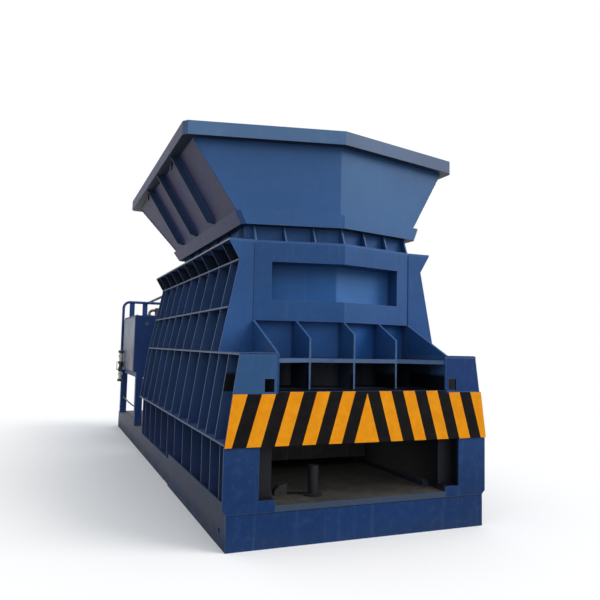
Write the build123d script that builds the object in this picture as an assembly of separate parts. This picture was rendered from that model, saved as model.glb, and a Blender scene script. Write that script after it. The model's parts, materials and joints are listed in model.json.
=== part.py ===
from build123d import *
import os

# A container scrap metal shear, in millimetres.
# X is the width, +Y runs from the outlet at the front to the power unit at the rear, Z is up.
# Every length along Y below is counted from the front face of the skid.

# Driving dimensions
SKID_WIDTH = 2400
SKID_LENGTH = 7600
SKID_HEIGHT = 280
BODY_LENGTH = 4600
CHAMBER_WIDTH = 1600
FLOOR_TOP = 328
BEAM_BOTTOM = 790
LEDGE = 1200
SHOULDER = 1520
WAIST = 2355
DECK = 2525
COLLAR_BOTTOM = 2690
COLLAR_TOP = 2815
RIM_BOTTOM = 3490
RIM_TOP = 3620
PROW_SLOPE = 0.25

# Half widths of the outline seen from the front, from the skid up
SKID_HALF = SKID_WIDTH / 2
CHAMBER_HALF = CHAMBER_WIDTH / 2
LEG_HALF = 1232
BEAM_TOP_HALF = 1176
SHOULDER_HALF = 1125
WAIST_HALF = 955
TIP_HALF = 1055
V_HALF = 810
HOPPER_HALF_BOTTOM = 862
HOPPER_HALF_TOP = 1437
RIM_HALF = 1470

# Plates
PLATE = 16
BEAM_PLATE = 16
FRONT_PLATE = 20
WALL = 30
RIB = 14
PANEL = 12
CHAMFER = 40

# Places along Y
UPPER_FRONT = 650
RETURN_FRONT = 114
V_APEX = 450
LOWER_WALL_APEX = V_APEX + 100
RECESS_DEPTH = 178
INNER_WALL_APEX = 690
KNIFE_BEAM_DEPTH = 160
THROAT_REAR = 3500
HOPPER_APEX = 560
HOPPER_REAR_BOTTOM = 3530
HOPPER_REAR_TOP = 4400
RIM_APEX = 466
RIM_REAR = 4450
FIRST_RIB = 920
RIB_PITCH = 425
RIB_COUNT = 9
LOWER_RIBS = (300, 610)

# Front head
V_BOTTOM = 1810
WINDOW_HALF = 660
WINDOW_BOTTOM = 1996
WINDOW_TOP = 2348
SHELF_BOTTOM = 1446
SHELF_TOP = 1481
GUSSET_FRONT = 235
GUSSET_PLACES = (-427, 0, 427)
RAIL_TOP = 372
WALL_OUT = CHAMBER_HALF + WALL
STRINGER_LEVELS = (BEAM_BOTTOM + 10, SHOULDER - PLATE, 1912, WAIST - 8)
NECK_BOTTOM = DECK + PLATE
NECK_HALF = 860
NECK_APEX = 572
NECK_REAR = 3560
HOPPER_TOP = RIM_TOP - 10

# Knives and cylinders
KNIFE_EDGE = 1150
KNIFE_HEIGHT = 120
KNIFE_DEPTH = 40
KNIFE_APEX = INNER_WALL_APEX + KNIFE_BEAM_DEPTH
FIXED_EDGE = KNIFE_EDGE + 1
BOLT = 12
FIXED_BOLTS = (100, 260, 420, 580, 720)
MOVING_BOLTS = (100, 300, 500, 700)
APRON = 1165
REAR_WALL = 4560
CYLINDER_X = 400
CYLINDER_Z = 770
BARREL_FRONT = 2600
BARREL_REAR = 4480
BORE = 80
ROD = 55
FIT = 0.05
CARRIAGE_FRONT = 1430
CARRIAGE_REAR = 3430
CARRIAGE_HALF = 770
CARRIAGE_BOTTOM = 400
CARRIAGE_TOP = 1140
FACE_PLATE = 50
POST_X = -376
POST_Y = 235

# Power unit
REAR_FLOOR_TOP = SKID_HEIGHT + 8
STAND_FRONT = 5400
STAND_REAR = 7500
STAND_HALF = 1188
STAND_TOP = 1120
LEG = 110
RING = 80
STAND_BEAMS = (-400, 520)
TANK_LEFT = -1230
TANK_RIGHT = 300
TANK_REAR = 6850
TANK_TOP = 2010
LID = 12
LID_TOP = TANK_TOP + LID
FILLER = (-200, 6300)
FILLER_TOP = TANK_TOP + 70
VALVE_X = (-400, -160)
VALVE_Y = 5660
VALVE_PIVOT = LID_TOP + 180
MOTOR_X = 0
MOTOR_Z = 520
SHAFT = 24
PUMP_PORT_Y = 6400
PUMP_PORT_TOP = MOTOR_Z + 125
CABINET_FACE = 1150
CABINET_FRONT = 5410
HINGE_X = CABINET_FACE + 14
HINGE_Y = CABINET_FRONT - 8
HINGE_LEVELS = (1220, 1800)
HANDLE_Y = 5950
HANDLE_Z = 1560
BUTTON_Y = 5700
BUTTON_Z = 1720
DRAIN_X = -1290
DRAIN_Y = 6700
DRAIN_Z = 1110
DRAIN_BRANCH = 1180
HOSE_X = -1140
HOSE_ENDS = (575, 556)
GLAND = 20

# The origin stands under the middle of the whole machine
MIDDLE_Y = (SKID_LENGTH - BEAM_PLATE) / 2


def block(x0, x1, y0, y1, z0, z1):
    centre = Pos((x0 + x1) / 2, (y0 + y1) / 2, (z0 + z1) / 2)
    return centre * Box(x1 - x0, y1 - y0, z1 - z0)


def polygon(points):
    return Face(Wire.make_polygon([Vector(*p) for p in points], close=True))


def plan_prism(points, z0, z1):
    face = polygon([(x, y, z0) for x, y in points])
    return extrude(face, amount=z1 - z0, dir=(0, 0, 1))


def front_prism(points, y0, y1):
    face = polygon([(x, y0, z) for x, z in points])
    return extrude(face, amount=y1 - y0, dir=(0, 1, 0))


def side_prism(points, x0, x1):
    face = polygon([(x0, y, z) for y, z in points])
    return extrude(face, amount=x1 - x0, dir=(1, 0, 0))


def frustum(bottom, z0, top, z1):
    lower = polygon([(x, y, z0) for x, y in bottom])
    upper = polygon([(x, y, z1) for x, y in top])
    return loft([lower, upper], ruled=True)


def rod_y(x, z, y0, y1, radius):
    return Pos(x, (y0 + y1) / 2, z) * Rot(90, 0, 0) * Cylinder(radius, y1 - y0)


def rod_x(y, z, x0, x1, radius):
    return Pos((x0 + x1) / 2, y, z) * Rot(0, 90, 0) * Cylinder(radius, x1 - x0)


def rod_z(x, y, z0, z1, radius):
    return Pos(x, y, (z0 + z1) / 2) * Cylinder(radius, z1 - z0)


def round_tube(path, radius):
    return sweep(Plane(origin=path @ 0, z_dir=path % 0) * Circle(radius), path=path)


def tan_degrees(angle):
    corner = Vector(1, 0, 0).rotate(Axis.Z, angle)
    return corner.Y / corner.X


def mirrored(shape):
    return mirror(shape, about=Plane.YZ)


def pair(shape):
    return [shape, mirrored(shape)]


def solids(shapes):
    return [solid for shape in shapes for solid in shape.solids()]


def prow_y(x, apex):
    return apex + PROW_SLOPE * abs(x)


def prow_points(half, apex, thickness):
    front = [(x, prow_y(x, apex)) for x in (-half, 0, half)]
    rear = [(x, y + thickness) for x, y in reversed(front)]
    return front + rear


def prow_plate(half, apex, thickness, z0, z1):
    return plan_prism(prow_points(half, apex, thickness), z0, z1)


def prow_outline(half, apex, rear, chamfer):
    right = [
        (half - chamfer, prow_y(half - chamfer, apex)),
        (half, prow_y(half, apex) + chamfer),
        (half, rear - chamfer),
        (half - chamfer, rear),
    ]
    left = [(-x, y) for x, y in reversed(right)]
    return [(0, apex)] + right + left


def side_x(z):
    """Half width of the ribbed side at height z, above the beam's lower edge."""
    if z <= SHOULDER:
        low, high = (LEG_HALF, BEAM_BOTTOM), (SHOULDER_HALF, SHOULDER)
    elif z <= WAIST:
        low, high = (SHOULDER_HALF, SHOULDER), (WAIST_HALF, WAIST)
    else:
        low, high = (WAIST_HALF, WAIST), (TIP_HALF, DECK)
    share = (z - low[1]) / (high[1] - low[1])
    return low[0] + share * (high[0] - low[0])


def hopper_half(z):
    share = (z - COLLAR_BOTTOM) / (RIM_TOP - 10 - COLLAR_BOTTOM)
    return HOPPER_HALF_BOTTOM + share * (HOPPER_HALF_TOP - HOPPER_HALF_BOTTOM)


def hopper_rear(z):
    share = (z - COLLAR_BOTTOM) / (RIM_TOP - 10 - COLLAR_BOTTOM)
    return HOPPER_REAR_BOTTOM + share * (HOPPER_REAR_TOP - HOPPER_REAR_BOTTOM)


# Skid

def base_skid():
    beam_inner = 1000
    beam_outer = SKID_HALF - 12
    web = 12
    height = SKID_HEIGHT
    beam = block(beam_inner, beam_outer, FRONT_PLATE, SKID_LENGTH, 0, height)
    beam -= block(beam_inner + web, beam_outer - web, 0, SKID_LENGTH + 1, web, height - web)
    frame = beam + mirrored(beam)
    for y in (100, 1500, 3000, 4420, 5360, 7400):
        cross = block(-beam_inner, beam_inner, y, y + 180, 0, height)
        cross -= block(-beam_inner - 1, beam_inner + 1, y + web, y + 180 - web, web, height - web)
        frame += cross
    frame += block(-SKID_HALF, SKID_HALF, 0, FRONT_PLATE, 0, height)
    floor_half = STAND_HALF - LEG - 6
    frame += block(-floor_half, floor_half, 4800, SKID_LENGTH, height, REAR_FLOOR_TOP)
    side = block(beam_outer, SKID_HALF, FRONT_PLATE, 2400, 0, 345)
    side -= rod_x(190, 120, beam_outer - 1, SKID_HALF + 1, 22)
    return frame + side + mirrored(side)


def chamber_floor():
    floor = block(-CHAMBER_HALF, CHAMBER_HALF, 0, BARREL_REAR, SKID_HEIGHT, FLOOR_TOP)
    rail = block(735, CHAMBER_HALF, 260, BARREL_REAR - 30, FLOOR_TOP, RAIL_TOP)
    return floor + rail + mirrored(rail)


# Body


def box_wall():
    profile = [
        (130, SKID_HEIGHT), (130, BEAM_BOTTOM), (PLATE, BEAM_BOTTOM), (PLATE, SHOULDER - PLATE),
        (UPPER_FRONT + PLATE, SHOULDER - PLATE), (UPPER_FRONT + PLATE, DECK),
        (BODY_LENGTH, DECK), (BODY_LENGTH, SKID_HEIGHT),
    ]
    return side_prism(profile, CHAMBER_HALF, WALL_OUT)


def stringers():
    plates = []
    for level in STRINGER_LEVELS:
        front = 0 if level < SHOULDER else UPPER_FRONT + PLATE
        outer = side_x(level) + 3
        plate = block(WALL_OUT, outer, front, BODY_LENGTH, level, level + PLATE)
        if level == SHOULDER - PLATE:
            plate += block(CHAMBER_HALF, outer, 0, UPPER_FRONT + PLATE, level, SHOULDER)
        plates.append(plate)
    return plates


def side_ribs():
    foot = SKID_HALF - 20
    lower = [(WALL_OUT, SKID_HEIGHT), (foot, SKID_HEIGHT), (foot, STRINGER_LEVELS[0])]
    slope = [(side_x(STRINGER_LEVELS[0]), STRINGER_LEVELS[0]), (SHOULDER_HALF, SHOULDER)]
    upper = [(WAIST_HALF, WAIST), (TIP_HALF, DECK), (WALL_OUT, DECK)]
    cutters = stringers()
    places = [FIRST_RIB + RIB_PITCH * i for i in range(RIB_COUNT)] + [BODY_LENGTH - RIB]
    ribs = [front_prism(lower + slope + upper, y, y + RIB) for y in places]
    short = lower + slope + [(WALL_OUT, SHOULDER)]
    ribs += [front_prism(short, y, y + RIB) for y in LOWER_RIBS]
    pieces = []
    for rib in ribs:
        for cutter in cutters:
            rib -= cutter
        pieces += rib.solids()
    return pieces


def front_leg():
    jamb = 943
    top = BEAM_BOTTOM
    face = [(jamb, SKID_HEIGHT), (SKID_HALF, SKID_HEIGHT), (LEG_HALF, 312), (LEG_HALF, top), (jamb, top)]
    leg = front_prism(face, 0, FRONT_PLATE)
    leg += block(jamb, jamb + 20, FRONT_PLATE, 130, SKID_HEIGHT, top)
    leg += block(CHAMBER_HALF, jamb, RETURN_FRONT, 130, SKID_HEIGHT, top)
    leg += block(CHAMBER_HALF, jamb, 0, RETURN_FRONT, SKID_HEIGHT, 370)
    return leg


def lower_front_plate():
    top = SHOULDER - PLATE
    face = [(CHAMBER_HALF, LEDGE), (side_x(LEDGE), LEDGE), (side_x(top), top), (CHAMBER_HALF, top)]
    hole = block(832, 914, -1, PLATE + 1, 1214, 1319)
    return front_prism(face, 0, PLATE) - hole


def front_beam():
    """The striped face plate, the box behind it and the ledge plate that closes it on top."""
    half = CHAMBER_HALF
    face = [(-LEG_HALF, BEAM_BOTTOM), (LEG_HALF, BEAM_BOTTOM), (BEAM_TOP_HALF, LEDGE), (-BEAM_TOP_HALF, LEDGE)]
    beam = front_prism(face, -BEAM_PLATE, 0)
    beam += block(-half, half, 0, 220, BEAM_BOTTOM, BEAM_BOTTOM + PLATE)
    beam += block(-half, half, 204, 220, BEAM_BOTTOM, LEDGE)
    for x in (-540, 0, 540):
        beam += block(x - 8, x + 8, 0, 204, BEAM_BOTTOM, LEDGE)
    return beam + ledge_plate()


def ledge_plate():
    rear = INNER_WALL_APEX
    outline = [
        (-CHAMBER_HALF, -BEAM_PLATE), (CHAMBER_HALF, -BEAM_PLATE),
        (CHAMBER_HALF, prow_y(CHAMBER_HALF, rear)), (0, rear), (-CHAMBER_HALF, prow_y(CHAMBER_HALF, rear)),
    ]
    return plan_prism(outline, LEDGE, LEDGE + PLATE)


def upper_front_strip():
    outer = [(side_x(z), z) for z in (SHOULDER, WAIST, DECK)]
    inner = [(V_HALF, DECK), (V_HALF, V_BOTTOM), (CHAMBER_HALF + 20, V_BOTTOM), (CHAMBER_HALF + 20, SHOULDER)]
    face = outer + inner
    return front_prism(face, UPPER_FRONT, UPPER_FRONT + PLATE)


def v_front_frame():
    frame = prow_plate(V_HALF, V_APEX, 20, V_BOTTOM, DECK)
    frame -= block(-WINDOW_HALF, WINDOW_HALF, 0, 1000, WINDOW_BOTTOM, WINDOW_TOP)
    frame += prow_plate(CHAMBER_HALF, V_APEX + 20, 80, V_BOTTOM, V_BOTTOM + PLATE)
    reveal = prow_plate(WINDOW_HALF + PLATE, V_APEX + 20, RECESS_DEPTH - 20,
                        WINDOW_BOTTOM - PLATE, WINDOW_TOP + PLATE)
    frame += reveal
    frame -= block(-WINDOW_HALF, WINDOW_HALF, 0, 1000, WINDOW_BOTTOM, WINDOW_TOP)
    corner = block(CHAMBER_HALF, V_HALF + 1, UPPER_FRONT + PLATE, 700, V_BOTTOM - 1, DECK + 1)
    return frame - corner - mirrored(corner)


def v_recess_panel():
    outer = WINDOW_HALF + PLATE
    return prow_plate(outer, V_APEX + RECESS_DEPTH, PLATE, WINDOW_BOTTOM - PLATE, WINDOW_TOP + PLATE)


def v_lower_wall():
    return prow_plate(CHAMBER_HALF, LOWER_WALL_APEX, PLATE, SHELF_TOP, V_BOTTOM)


def shelf_gussets():
    plates = []
    for x in GUSSET_PLACES:
        knee = 1695 if x == 0 else 1653
        rear = prow_y(x, LOWER_WALL_APEX) - 2
        profile = [
            (GUSSET_FRONT, LEDGE + PLATE), (GUSSET_FRONT, knee),
            (prow_y(x, V_APEX), V_BOTTOM), (rear, V_BOTTOM), (rear, LEDGE + PLATE),
        ]
        plates.append(side_prism(profile, x - 8, x + 8))
    return plates


def front_shelf():
    rear = INNER_WALL_APEX
    outline = [
        (-CHAMBER_HALF, PLATE), (-440, GUSSET_FRONT), (440, GUSSET_FRONT), (CHAMBER_HALF, PLATE),
        (CHAMBER_HALF, prow_y(CHAMBER_HALF, rear)), (0, rear), (-CHAMBER_HALF, prow_y(CHAMBER_HALF, rear)),
    ]
    shelf = plan_prism(outline, SHELF_BOTTOM, SHELF_TOP)
    for gusset in shelf_gussets():
        shelf -= gusset
    return shelf


def end_gusset():
    profile = [(0, SHOULDER), (0, SHOULDER + 8), (UPPER_FRONT, V_BOTTOM + 2), (UPPER_FRONT, SHOULDER)]
    return side_prism(profile, CHAMBER_HALF, CHAMBER_HALF + 20)


def front_inner_wall():
    return prow_plate(CHAMBER_HALF, INNER_WALL_APEX, WALL, SHELF_BOTTOM, DECK)


# Deck and neck

def top_deck():
    edge = UPPER_FRONT
    outline = [
        (-TIP_HALF, edge), (-V_HALF, prow_y(V_HALF, V_APEX)), (0, V_APEX), (V_HALF, prow_y(V_HALF, V_APEX)),
        (TIP_HALF, edge), (TIP_HALF, BODY_LENGTH + 20), (-TIP_HALF, BODY_LENGTH + 20),
    ]
    throat_apex = INNER_WALL_APEX + WALL
    throat = [
        (-CHAMBER_HALF, prow_y(CHAMBER_HALF, throat_apex)), (0, throat_apex),
        (CHAMBER_HALF, prow_y(CHAMBER_HALF, throat_apex)),
        (CHAMBER_HALF, THROAT_REAR), (-CHAMBER_HALF, THROAT_REAR),
    ]
    deck = plan_prism(outline, DECK, DECK + PLATE)
    return deck - plan_prism(throat, DECK - 1, DECK + PLATE + 1)


def neck_skirt():
    outer = prow_outline(NECK_HALF, NECK_APEX, NECK_REAR, 20)
    inner = prow_outline(NECK_HALF - PLATE, NECK_APEX + PLATE, NECK_REAR - PLATE, 12)
    skirt = plan_prism(outer, NECK_BOTTOM, COLLAR_BOTTOM)
    return skirt - plan_prism(inner, NECK_BOTTOM - 1, COLLAR_BOTTOM + 1)


def neck_gussets():
    plates = []
    for x in (-800, -530, -265, 0, 265, 530, 800):
        face = prow_y(abs(x) - 7, NECK_APEX) if x else NECK_APEX
        profile = [
            (prow_y(x, V_APEX) + 12, NECK_BOTTOM), (face, NECK_BOTTOM),
            (face, COLLAR_BOTTOM), (face - 40, COLLAR_BOTTOM),
        ]
        plate = side_prism(profile, x - 7, x + 7)
        plates.append(plate)
    for i in range(6):
        y = FIRST_RIB + RIB_PITCH * i
        profile = [
            (NECK_HALF, NECK_BOTTOM), (NECK_HALF + 70, NECK_BOTTOM),
            (NECK_HALF + 25, COLLAR_BOTTOM), (NECK_HALF, COLLAR_BOTTOM),
        ]
        plate = front_prism(profile, y, y + RIB)
        plates += [plate, mirrored(plate)]
    return plates


# Hopper

def hopper_front_panel():
    bottom = prow_points(HOPPER_HALF_BOTTOM, HOPPER_APEX, PANEL)
    top = prow_points(HOPPER_HALF_TOP, HOPPER_APEX, PANEL)
    return frustum(bottom, COLLAR_BOTTOM, top, HOPPER_TOP)


def hopper_side_panel():
    thick = 14
    inside = HOPPER_APEX + PANEL

    def section(half, rear):
        return [
            (half, prow_y(half, inside)), (half - thick, prow_y(half - thick, inside)),
            (half - thick, rear), (half, rear),
        ]

    bottom = section(HOPPER_HALF_BOTTOM, HOPPER_REAR_BOTTOM)
    top = section(HOPPER_HALF_TOP, HOPPER_REAR_TOP)
    return frustum(bottom, COLLAR_BOTTOM, top, HOPPER_TOP)


def hopper_rear_panel():
    thick = 16

    def section(half, rear):
        half -= 14
        return [(-half, rear), (half, rear), (half, rear - thick), (-half, rear - thick)]

    bottom = section(HOPPER_HALF_BOTTOM, HOPPER_REAR_BOTTOM)
    top = section(HOPPER_HALF_TOP, HOPPER_REAR_TOP)
    return frustum(bottom, COLLAR_BOTTOM, top, HOPPER_TOP)


def hopper_outer():
    """The space inside the hopper's outer faces, a little taller than the panels."""
    low = COLLAR_BOTTOM - 50
    high = RIM_TOP + 50

    def section(z):
        half = hopper_half(z)
        front = [(x, prow_y(x, HOPPER_APEX)) for x in (-half, 0, half)]
        return front + [(half, hopper_rear(z)), (-half, hopper_rear(z))]

    return frustum(section(low), low, section(high), high)


def hopper_collar():
    skin = 10
    side_low, side_high = 930, 985
    rear_low, rear_high = 3610, 3730
    apex = 467
    low = prow_outline(side_low, apex, rear_low, CHAMFER)
    high = prow_outline(side_high, apex, rear_high, CHAMFER)
    band = frustum(low, COLLAR_BOTTOM, high, COLLAR_TOP)
    cavity_low = prow_outline(side_low - skin + 4, apex + skin, rear_low - skin + 9, CHAMFER)
    cavity_high = prow_outline(side_high - skin - 4, apex + skin, rear_high - skin - 9, CHAMFER)
    band -= frustum(cavity_low, COLLAR_BOTTOM + skin, cavity_high, COLLAR_TOP - skin)
    return band - hopper_outer()


def hopper_rim():
    skin = 10
    outer = prow_outline(RIM_HALF, RIM_APEX, RIM_REAR, CHAMFER)
    cavity = prow_outline(RIM_HALF - skin, RIM_APEX + skin, RIM_REAR - skin, CHAMFER)
    web = plan_prism(outer, RIM_BOTTOM, RIM_TOP - skin)
    web -= plan_prism(cavity, RIM_BOTTOM + skin, RIM_TOP - skin + 1)
    web -= hopper_outer()
    top = plan_prism(outer, RIM_TOP - skin, RIM_TOP)
    mouth = prow_outline(HOPPER_HALF_TOP - 14, HOPPER_APEX + PANEL, HOPPER_REAR_TOP - PLATE, 2)
    rim = web + top - plan_prism(mouth, RIM_TOP - skin - 1, RIM_TOP + 1)
    for y in (1720, 3290):
        lug = block(1395, 1411, y, y + 85, RIM_BOTTOM - 85, RIM_BOTTOM)
        lug -= rod_x(y + 42, RIM_BOTTOM - 45, 1394, 1412, 16)
        rim += lug
        rim += mirrored(lug)
    return rim


def hopper_ribs():
    low = 2830
    plates = []
    for y in (1580, 2380, 3120):
        profile = [
            (hopper_half(low), low), (hopper_half(low) + 98, low + 22),
            (1450, RIM_BOTTOM), (hopper_half(RIM_BOTTOM), RIM_BOTTOM),
        ]
        plate = front_prism(profile, y, y + RIB)
        plates += [plate, mirrored(plate)]
    for x in (-650, 0, 650):
        profile = [
            (hopper_rear(low), low), (hopper_rear(low) + 55, low + 12),
            (4430, RIM_BOTTOM), (hopper_rear(RIM_BOTTOM), RIM_BOTTOM),
        ]
        plates.append(side_prism(profile, x - 7, x + 7))
    return plates


# Shear box inside

def bolt_y(x, z, face, depth, clockwise):
    """A hexagon bolt whose head rests on the plane y = face; the shank runs along -Y or +Y."""
    head = extrude(Plane.XZ * RegularPolygon(20, 6), amount=14)
    shank = Pos(0, depth / 2, 0) * Rot(90, 0, 0) * Cylinder(BOLT, depth)
    bolt = head + shank
    if clockwise:
        bolt = Rot(0, 0, 180) * bolt
    return Pos(x, face, z) * bolt


def fixed_knife_half():
    half = CHAMBER_HALF
    front = KNIFE_APEX - KNIFE_DEPTH
    outline = [(0, front), (half, prow_y(half, front)), (half, prow_y(half, KNIFE_APEX)), (0, KNIFE_APEX)]
    return plan_prism(outline, FIXED_EDGE, FIXED_EDGE + KNIFE_HEIGHT)


def fixed_knife_bolts():
    """Bolts that stand square to the slanted rear face of the fixed knives."""
    bolts = []
    turn = 14.036
    for x in FIXED_BOLTS:
        bolt = Rot(0, 0, turn) * bolt_y(0, 0, 0, 110, True)
        bolts.append(Pos(x, prow_y(x, KNIFE_APEX), FIXED_EDGE + 65) * bolt)
    return solids(bolts + [mirrored(bolt) for bolt in bolts])


def fixed_knives():
    blade = fixed_knife_half()
    blades = [blade, mirrored(blade)]
    for bolt in fixed_knife_bolts():
        blades = [one - bolt for one in blades]
    return solids(blades)


def fixed_knife_beam():
    beam = prow_plate(CHAMBER_HALF, INNER_WALL_APEX, KNIFE_BEAM_DEPTH, KNIFE_EDGE + 15, SHELF_BOTTOM)
    beam -= prow_plate(CHAMBER_HALF + 1, KNIFE_APEX - KNIFE_DEPTH, KNIFE_DEPTH + 1,
                       KNIFE_EDGE, FIXED_EDGE + KNIFE_HEIGHT)
    beam -= ledge_plate()
    for bolt in fixed_knife_bolts():
        beam -= bolt
    return beam


def rear_apron():
    top = APRON + 20
    flat = block(-CHAMBER_HALF, CHAMBER_HALF, 2450, REAR_WALL, APRON, top)
    chute = [(2450, top), (2480, top), (THROAT_REAR + 20, DECK), (THROAT_REAR - 10, DECK)]
    return flat + side_prism(chute, -CHAMBER_HALF, CHAMBER_HALF)


def rear_wall():
    """The closing plate, and the thick crosshead in front of it that the cylinders push against."""
    wall = block(-CHAMBER_HALF, CHAMBER_HALF, REAR_WALL, BODY_LENGTH, SKID_HEIGHT, DECK)
    return wall + block(-CHAMBER_HALF, CHAMBER_HALF, BARREL_REAR, REAR_WALL, SKID_HEIGHT, APRON)


def cylinder_barrel(x):
    barrel = rod_y(x, CYLINDER_Z, BARREL_FRONT, BARREL_REAR, 105)
    barrel += rod_y(x, CYLINDER_Z, BARREL_FRONT, BARREL_FRONT + 60, 125)
    barrel += rod_y(x, CYLINDER_Z, BARREL_REAR - 40, BARREL_REAR, 150)
    for y in (BARREL_FRONT + 110, BARREL_REAR - 90):
        barrel += rod_z(x, y, CYLINDER_Z + 90, CYLINDER_Z + 135, 28)
    return barrel - rod_y(x, CYLINDER_Z, BARREL_FRONT - 1, BARREL_REAR - 35, BORE)


def cylinder_glands():
    glands = []
    for x in (-CYLINDER_X, CYLINDER_X):
        gland = rod_y(x, CYLINDER_Z, BARREL_FRONT, BARREL_FRONT + 50, BORE)
        gland += rod_y(x, CYLINDER_Z, BARREL_FRONT - 20, BARREL_FRONT, 95)
        glands.append(gland - rod_y(x, CYLINDER_Z, BARREL_FRONT - 21, BARREL_FRONT + 51, ROD + FIT))
    return glands


# Knife carriage, part of the way forward

def knife_carriage():
    inner_half = CARRIAGE_HALF - 30
    body = block(-CARRIAGE_HALF, CARRIAGE_HALF, CARRIAGE_FRONT, CARRIAGE_REAR, CARRIAGE_BOTTOM, CARRIAGE_TOP)
    body -= block(-inner_half, inner_half, CARRIAGE_FRONT + FACE_PLATE, CARRIAGE_REAR + 1,
                  CARRIAGE_BOTTOM + 30, CARRIAGE_TOP - 30)
    body -= block(-CARRIAGE_HALF - 1, CARRIAGE_HALF + 1, CARRIAGE_FRONT - 1, CARRIAGE_FRONT + KNIFE_DEPTH,
                  KNIFE_EDGE - KNIFE_HEIGHT, CARRIAGE_TOP + 1)
    for x in (-12, 688, -712):
        body += block(x, x + 24, CARRIAGE_FRONT + FACE_PLATE, CARRIAGE_REAR - 300,
                      CARRIAGE_BOTTOM + 30, CARRIAGE_TOP - 30)
    for bolt in moving_knife_bolts():
        body -= bolt
    return body


def moving_knife_bolts():
    z = KNIFE_EDGE - 60
    bolts = []
    for x in MOVING_BOLTS:
        bolt = bolt_y(x, z, CARRIAGE_FRONT, FACE_PLATE, False)
        bolts += [bolt, mirrored(bolt)]
    return solids(bolts)


def moving_knives():
    half = CARRIAGE_HALF + 15
    blade = block(0, half, CARRIAGE_FRONT, CARRIAGE_FRONT + KNIFE_DEPTH, KNIFE_EDGE - KNIFE_HEIGHT, KNIFE_EDGE)
    blades = [blade, mirrored(blade)]
    for bolt in moving_knife_bolts():
        blades = [one - bolt for one in blades]
    return solids(blades)


def carriage_pads():
    gap = 0.3
    pads = []
    for y in (1560, 3080):
        foot = block(700, CHAMBER_HALF - 5, y, y + 300, RAIL_TOP + gap, CARRIAGE_BOTTOM)
        cheek = block(CARRIAGE_HALF, CHAMBER_HALF - gap, y, y + 300, 560, 680)
        pads += [foot, mirrored(foot), cheek, mirrored(cheek)]
    return pads


def cylinder_rod(x):
    face = CARRIAGE_FRONT + FACE_PLATE
    piston = 3470
    rod = rod_y(x, CYLINDER_Z, face, piston, ROD)
    rod += rod_y(x, CYLINDER_Z, face, face + 40, 95)
    return rod + rod_y(x, CYLINDER_Z, piston - 80, piston, BORE - FIT)


# Small things on the outlet floor

def floor_post():
    post = rod_z(POST_X, POST_Y, FLOOR_TOP, 580, 44)
    return post + rod_z(POST_X, POST_Y, FLOOR_TOP, FLOOR_TOP + 14, 78)


def floor_bracket():
    profile = [(-700, FLOOR_TOP), (-590, FLOOR_TOP), (-590, 425), (-660, 405), (-700, 365)]
    return front_prism(profile, 300, 365)


def floor_link_bar():
    path = Line((-589, 328, FLOOR_TOP + 30), (POST_X - 78, POST_Y + 25, FLOOR_TOP + 30))
    return round_tube(path, 13) - floor_bracket() - floor_post()


# Power unit behind the shear box

def power_stand():
    """Legs, ring and cross beams: square tubes that meet face to face where they are welded."""
    half = STAND_HALF - LEG
    low = STAND_TOP - RING
    tubes = []
    for y in (STAND_FRONT, STAND_REAR - LEG):
        tubes += pair(block(half, STAND_HALF, y, y + LEG, SKID_HEIGHT, STAND_TOP))
    front, rear = STAND_FRONT + LEG, STAND_REAR - LEG
    tubes += pair(block(STAND_HALF - RING, STAND_HALF, front, rear, low, STAND_TOP))
    for y in (STAND_FRONT, STAND_REAR - RING):
        tubes.append(block(-half, half, y, y + RING, low, STAND_TOP))
    edges = [-STAND_HALF + RING]
    for x in STAND_BEAMS:
        tubes.append(block(x, x + RING, STAND_FRONT + RING, STAND_REAR - RING, low, STAND_TOP))
        edges += [x, x + RING]
    edges.append(STAND_HALF - RING)
    y = TANK_REAR + 50
    for left, right in zip(edges[::2], edges[1::2]):
        tubes.append(block(left, right, y, y + RING, low, STAND_TOP))
    for z, y in zip(HOSE_ENDS, (rear - GLAND, front)):
        tubes.append(rod_y(HOSE_X, z, y, y + GLAND, 20))
    return tubes


def oil_tank():
    wall = 8
    outer = block(TANK_LEFT, TANK_RIGHT, STAND_FRONT, TANK_REAR, STAND_TOP, TANK_TOP)
    inner = block(TANK_LEFT + wall, TANK_RIGHT - wall, STAND_FRONT + wall, TANK_REAR - wall,
                  STAND_TOP + wall, TANK_TOP + 1)
    return outer - inner


def tank_lid():
    lid = block(TANK_LEFT, TANK_RIGHT, STAND_FRONT, TANK_REAR, TANK_TOP, TANK_TOP + LID)
    lid += rod_z(*FILLER, TANK_TOP, FILLER_TOP, 72)
    return lid - rod_z(*FILLER, TANK_TOP - 1, FILLER_TOP + 1, 60)


def filler_cap():
    x, y = FILLER
    top = FILLER_TOP + 0.5
    cap = rod_z(x, y, top, top + 34, 80)
    cap += rod_z(x, y, top - 30, top, 60 - FIT)
    return cap + block(x - 65, x + 65, y - 8, y + 8, top + 34, top + 54)


def tank_side_panel():
    panel = block(TANK_LEFT - 8, TANK_LEFT, STAND_FRONT + 20, TANK_REAR - 20, STAND_TOP + 20, TANK_TOP - 20)
    return panel - rod_x(DRAIN_Y, DRAIN_BRANCH, TANK_LEFT - 9, TANK_LEFT + 1, 28)


def hoop_rail():
    y = TANK_REAR + 90
    x = 1250
    top = 2320
    points = [(-x, y, STAND_TOP - 40), (-x, y, top), (x, y, top), (x, y, STAND_TOP - 40)]
    path = FilletPolyline(*points, radius=110)
    rail = round_tube(path, 24)
    for side in (-1, 1):
        inner = sorted((side * (x - 10), side * STAND_HALF))
        rail += block(inner[0], inner[1], y - 30, y + 30, STAND_TOP - 80, STAND_TOP - 20)
    for left in (-1145, -915):
        rail += block(left, left + 90, y - 5, y + 5, STAND_TOP, top - 10)
    return rail


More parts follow.
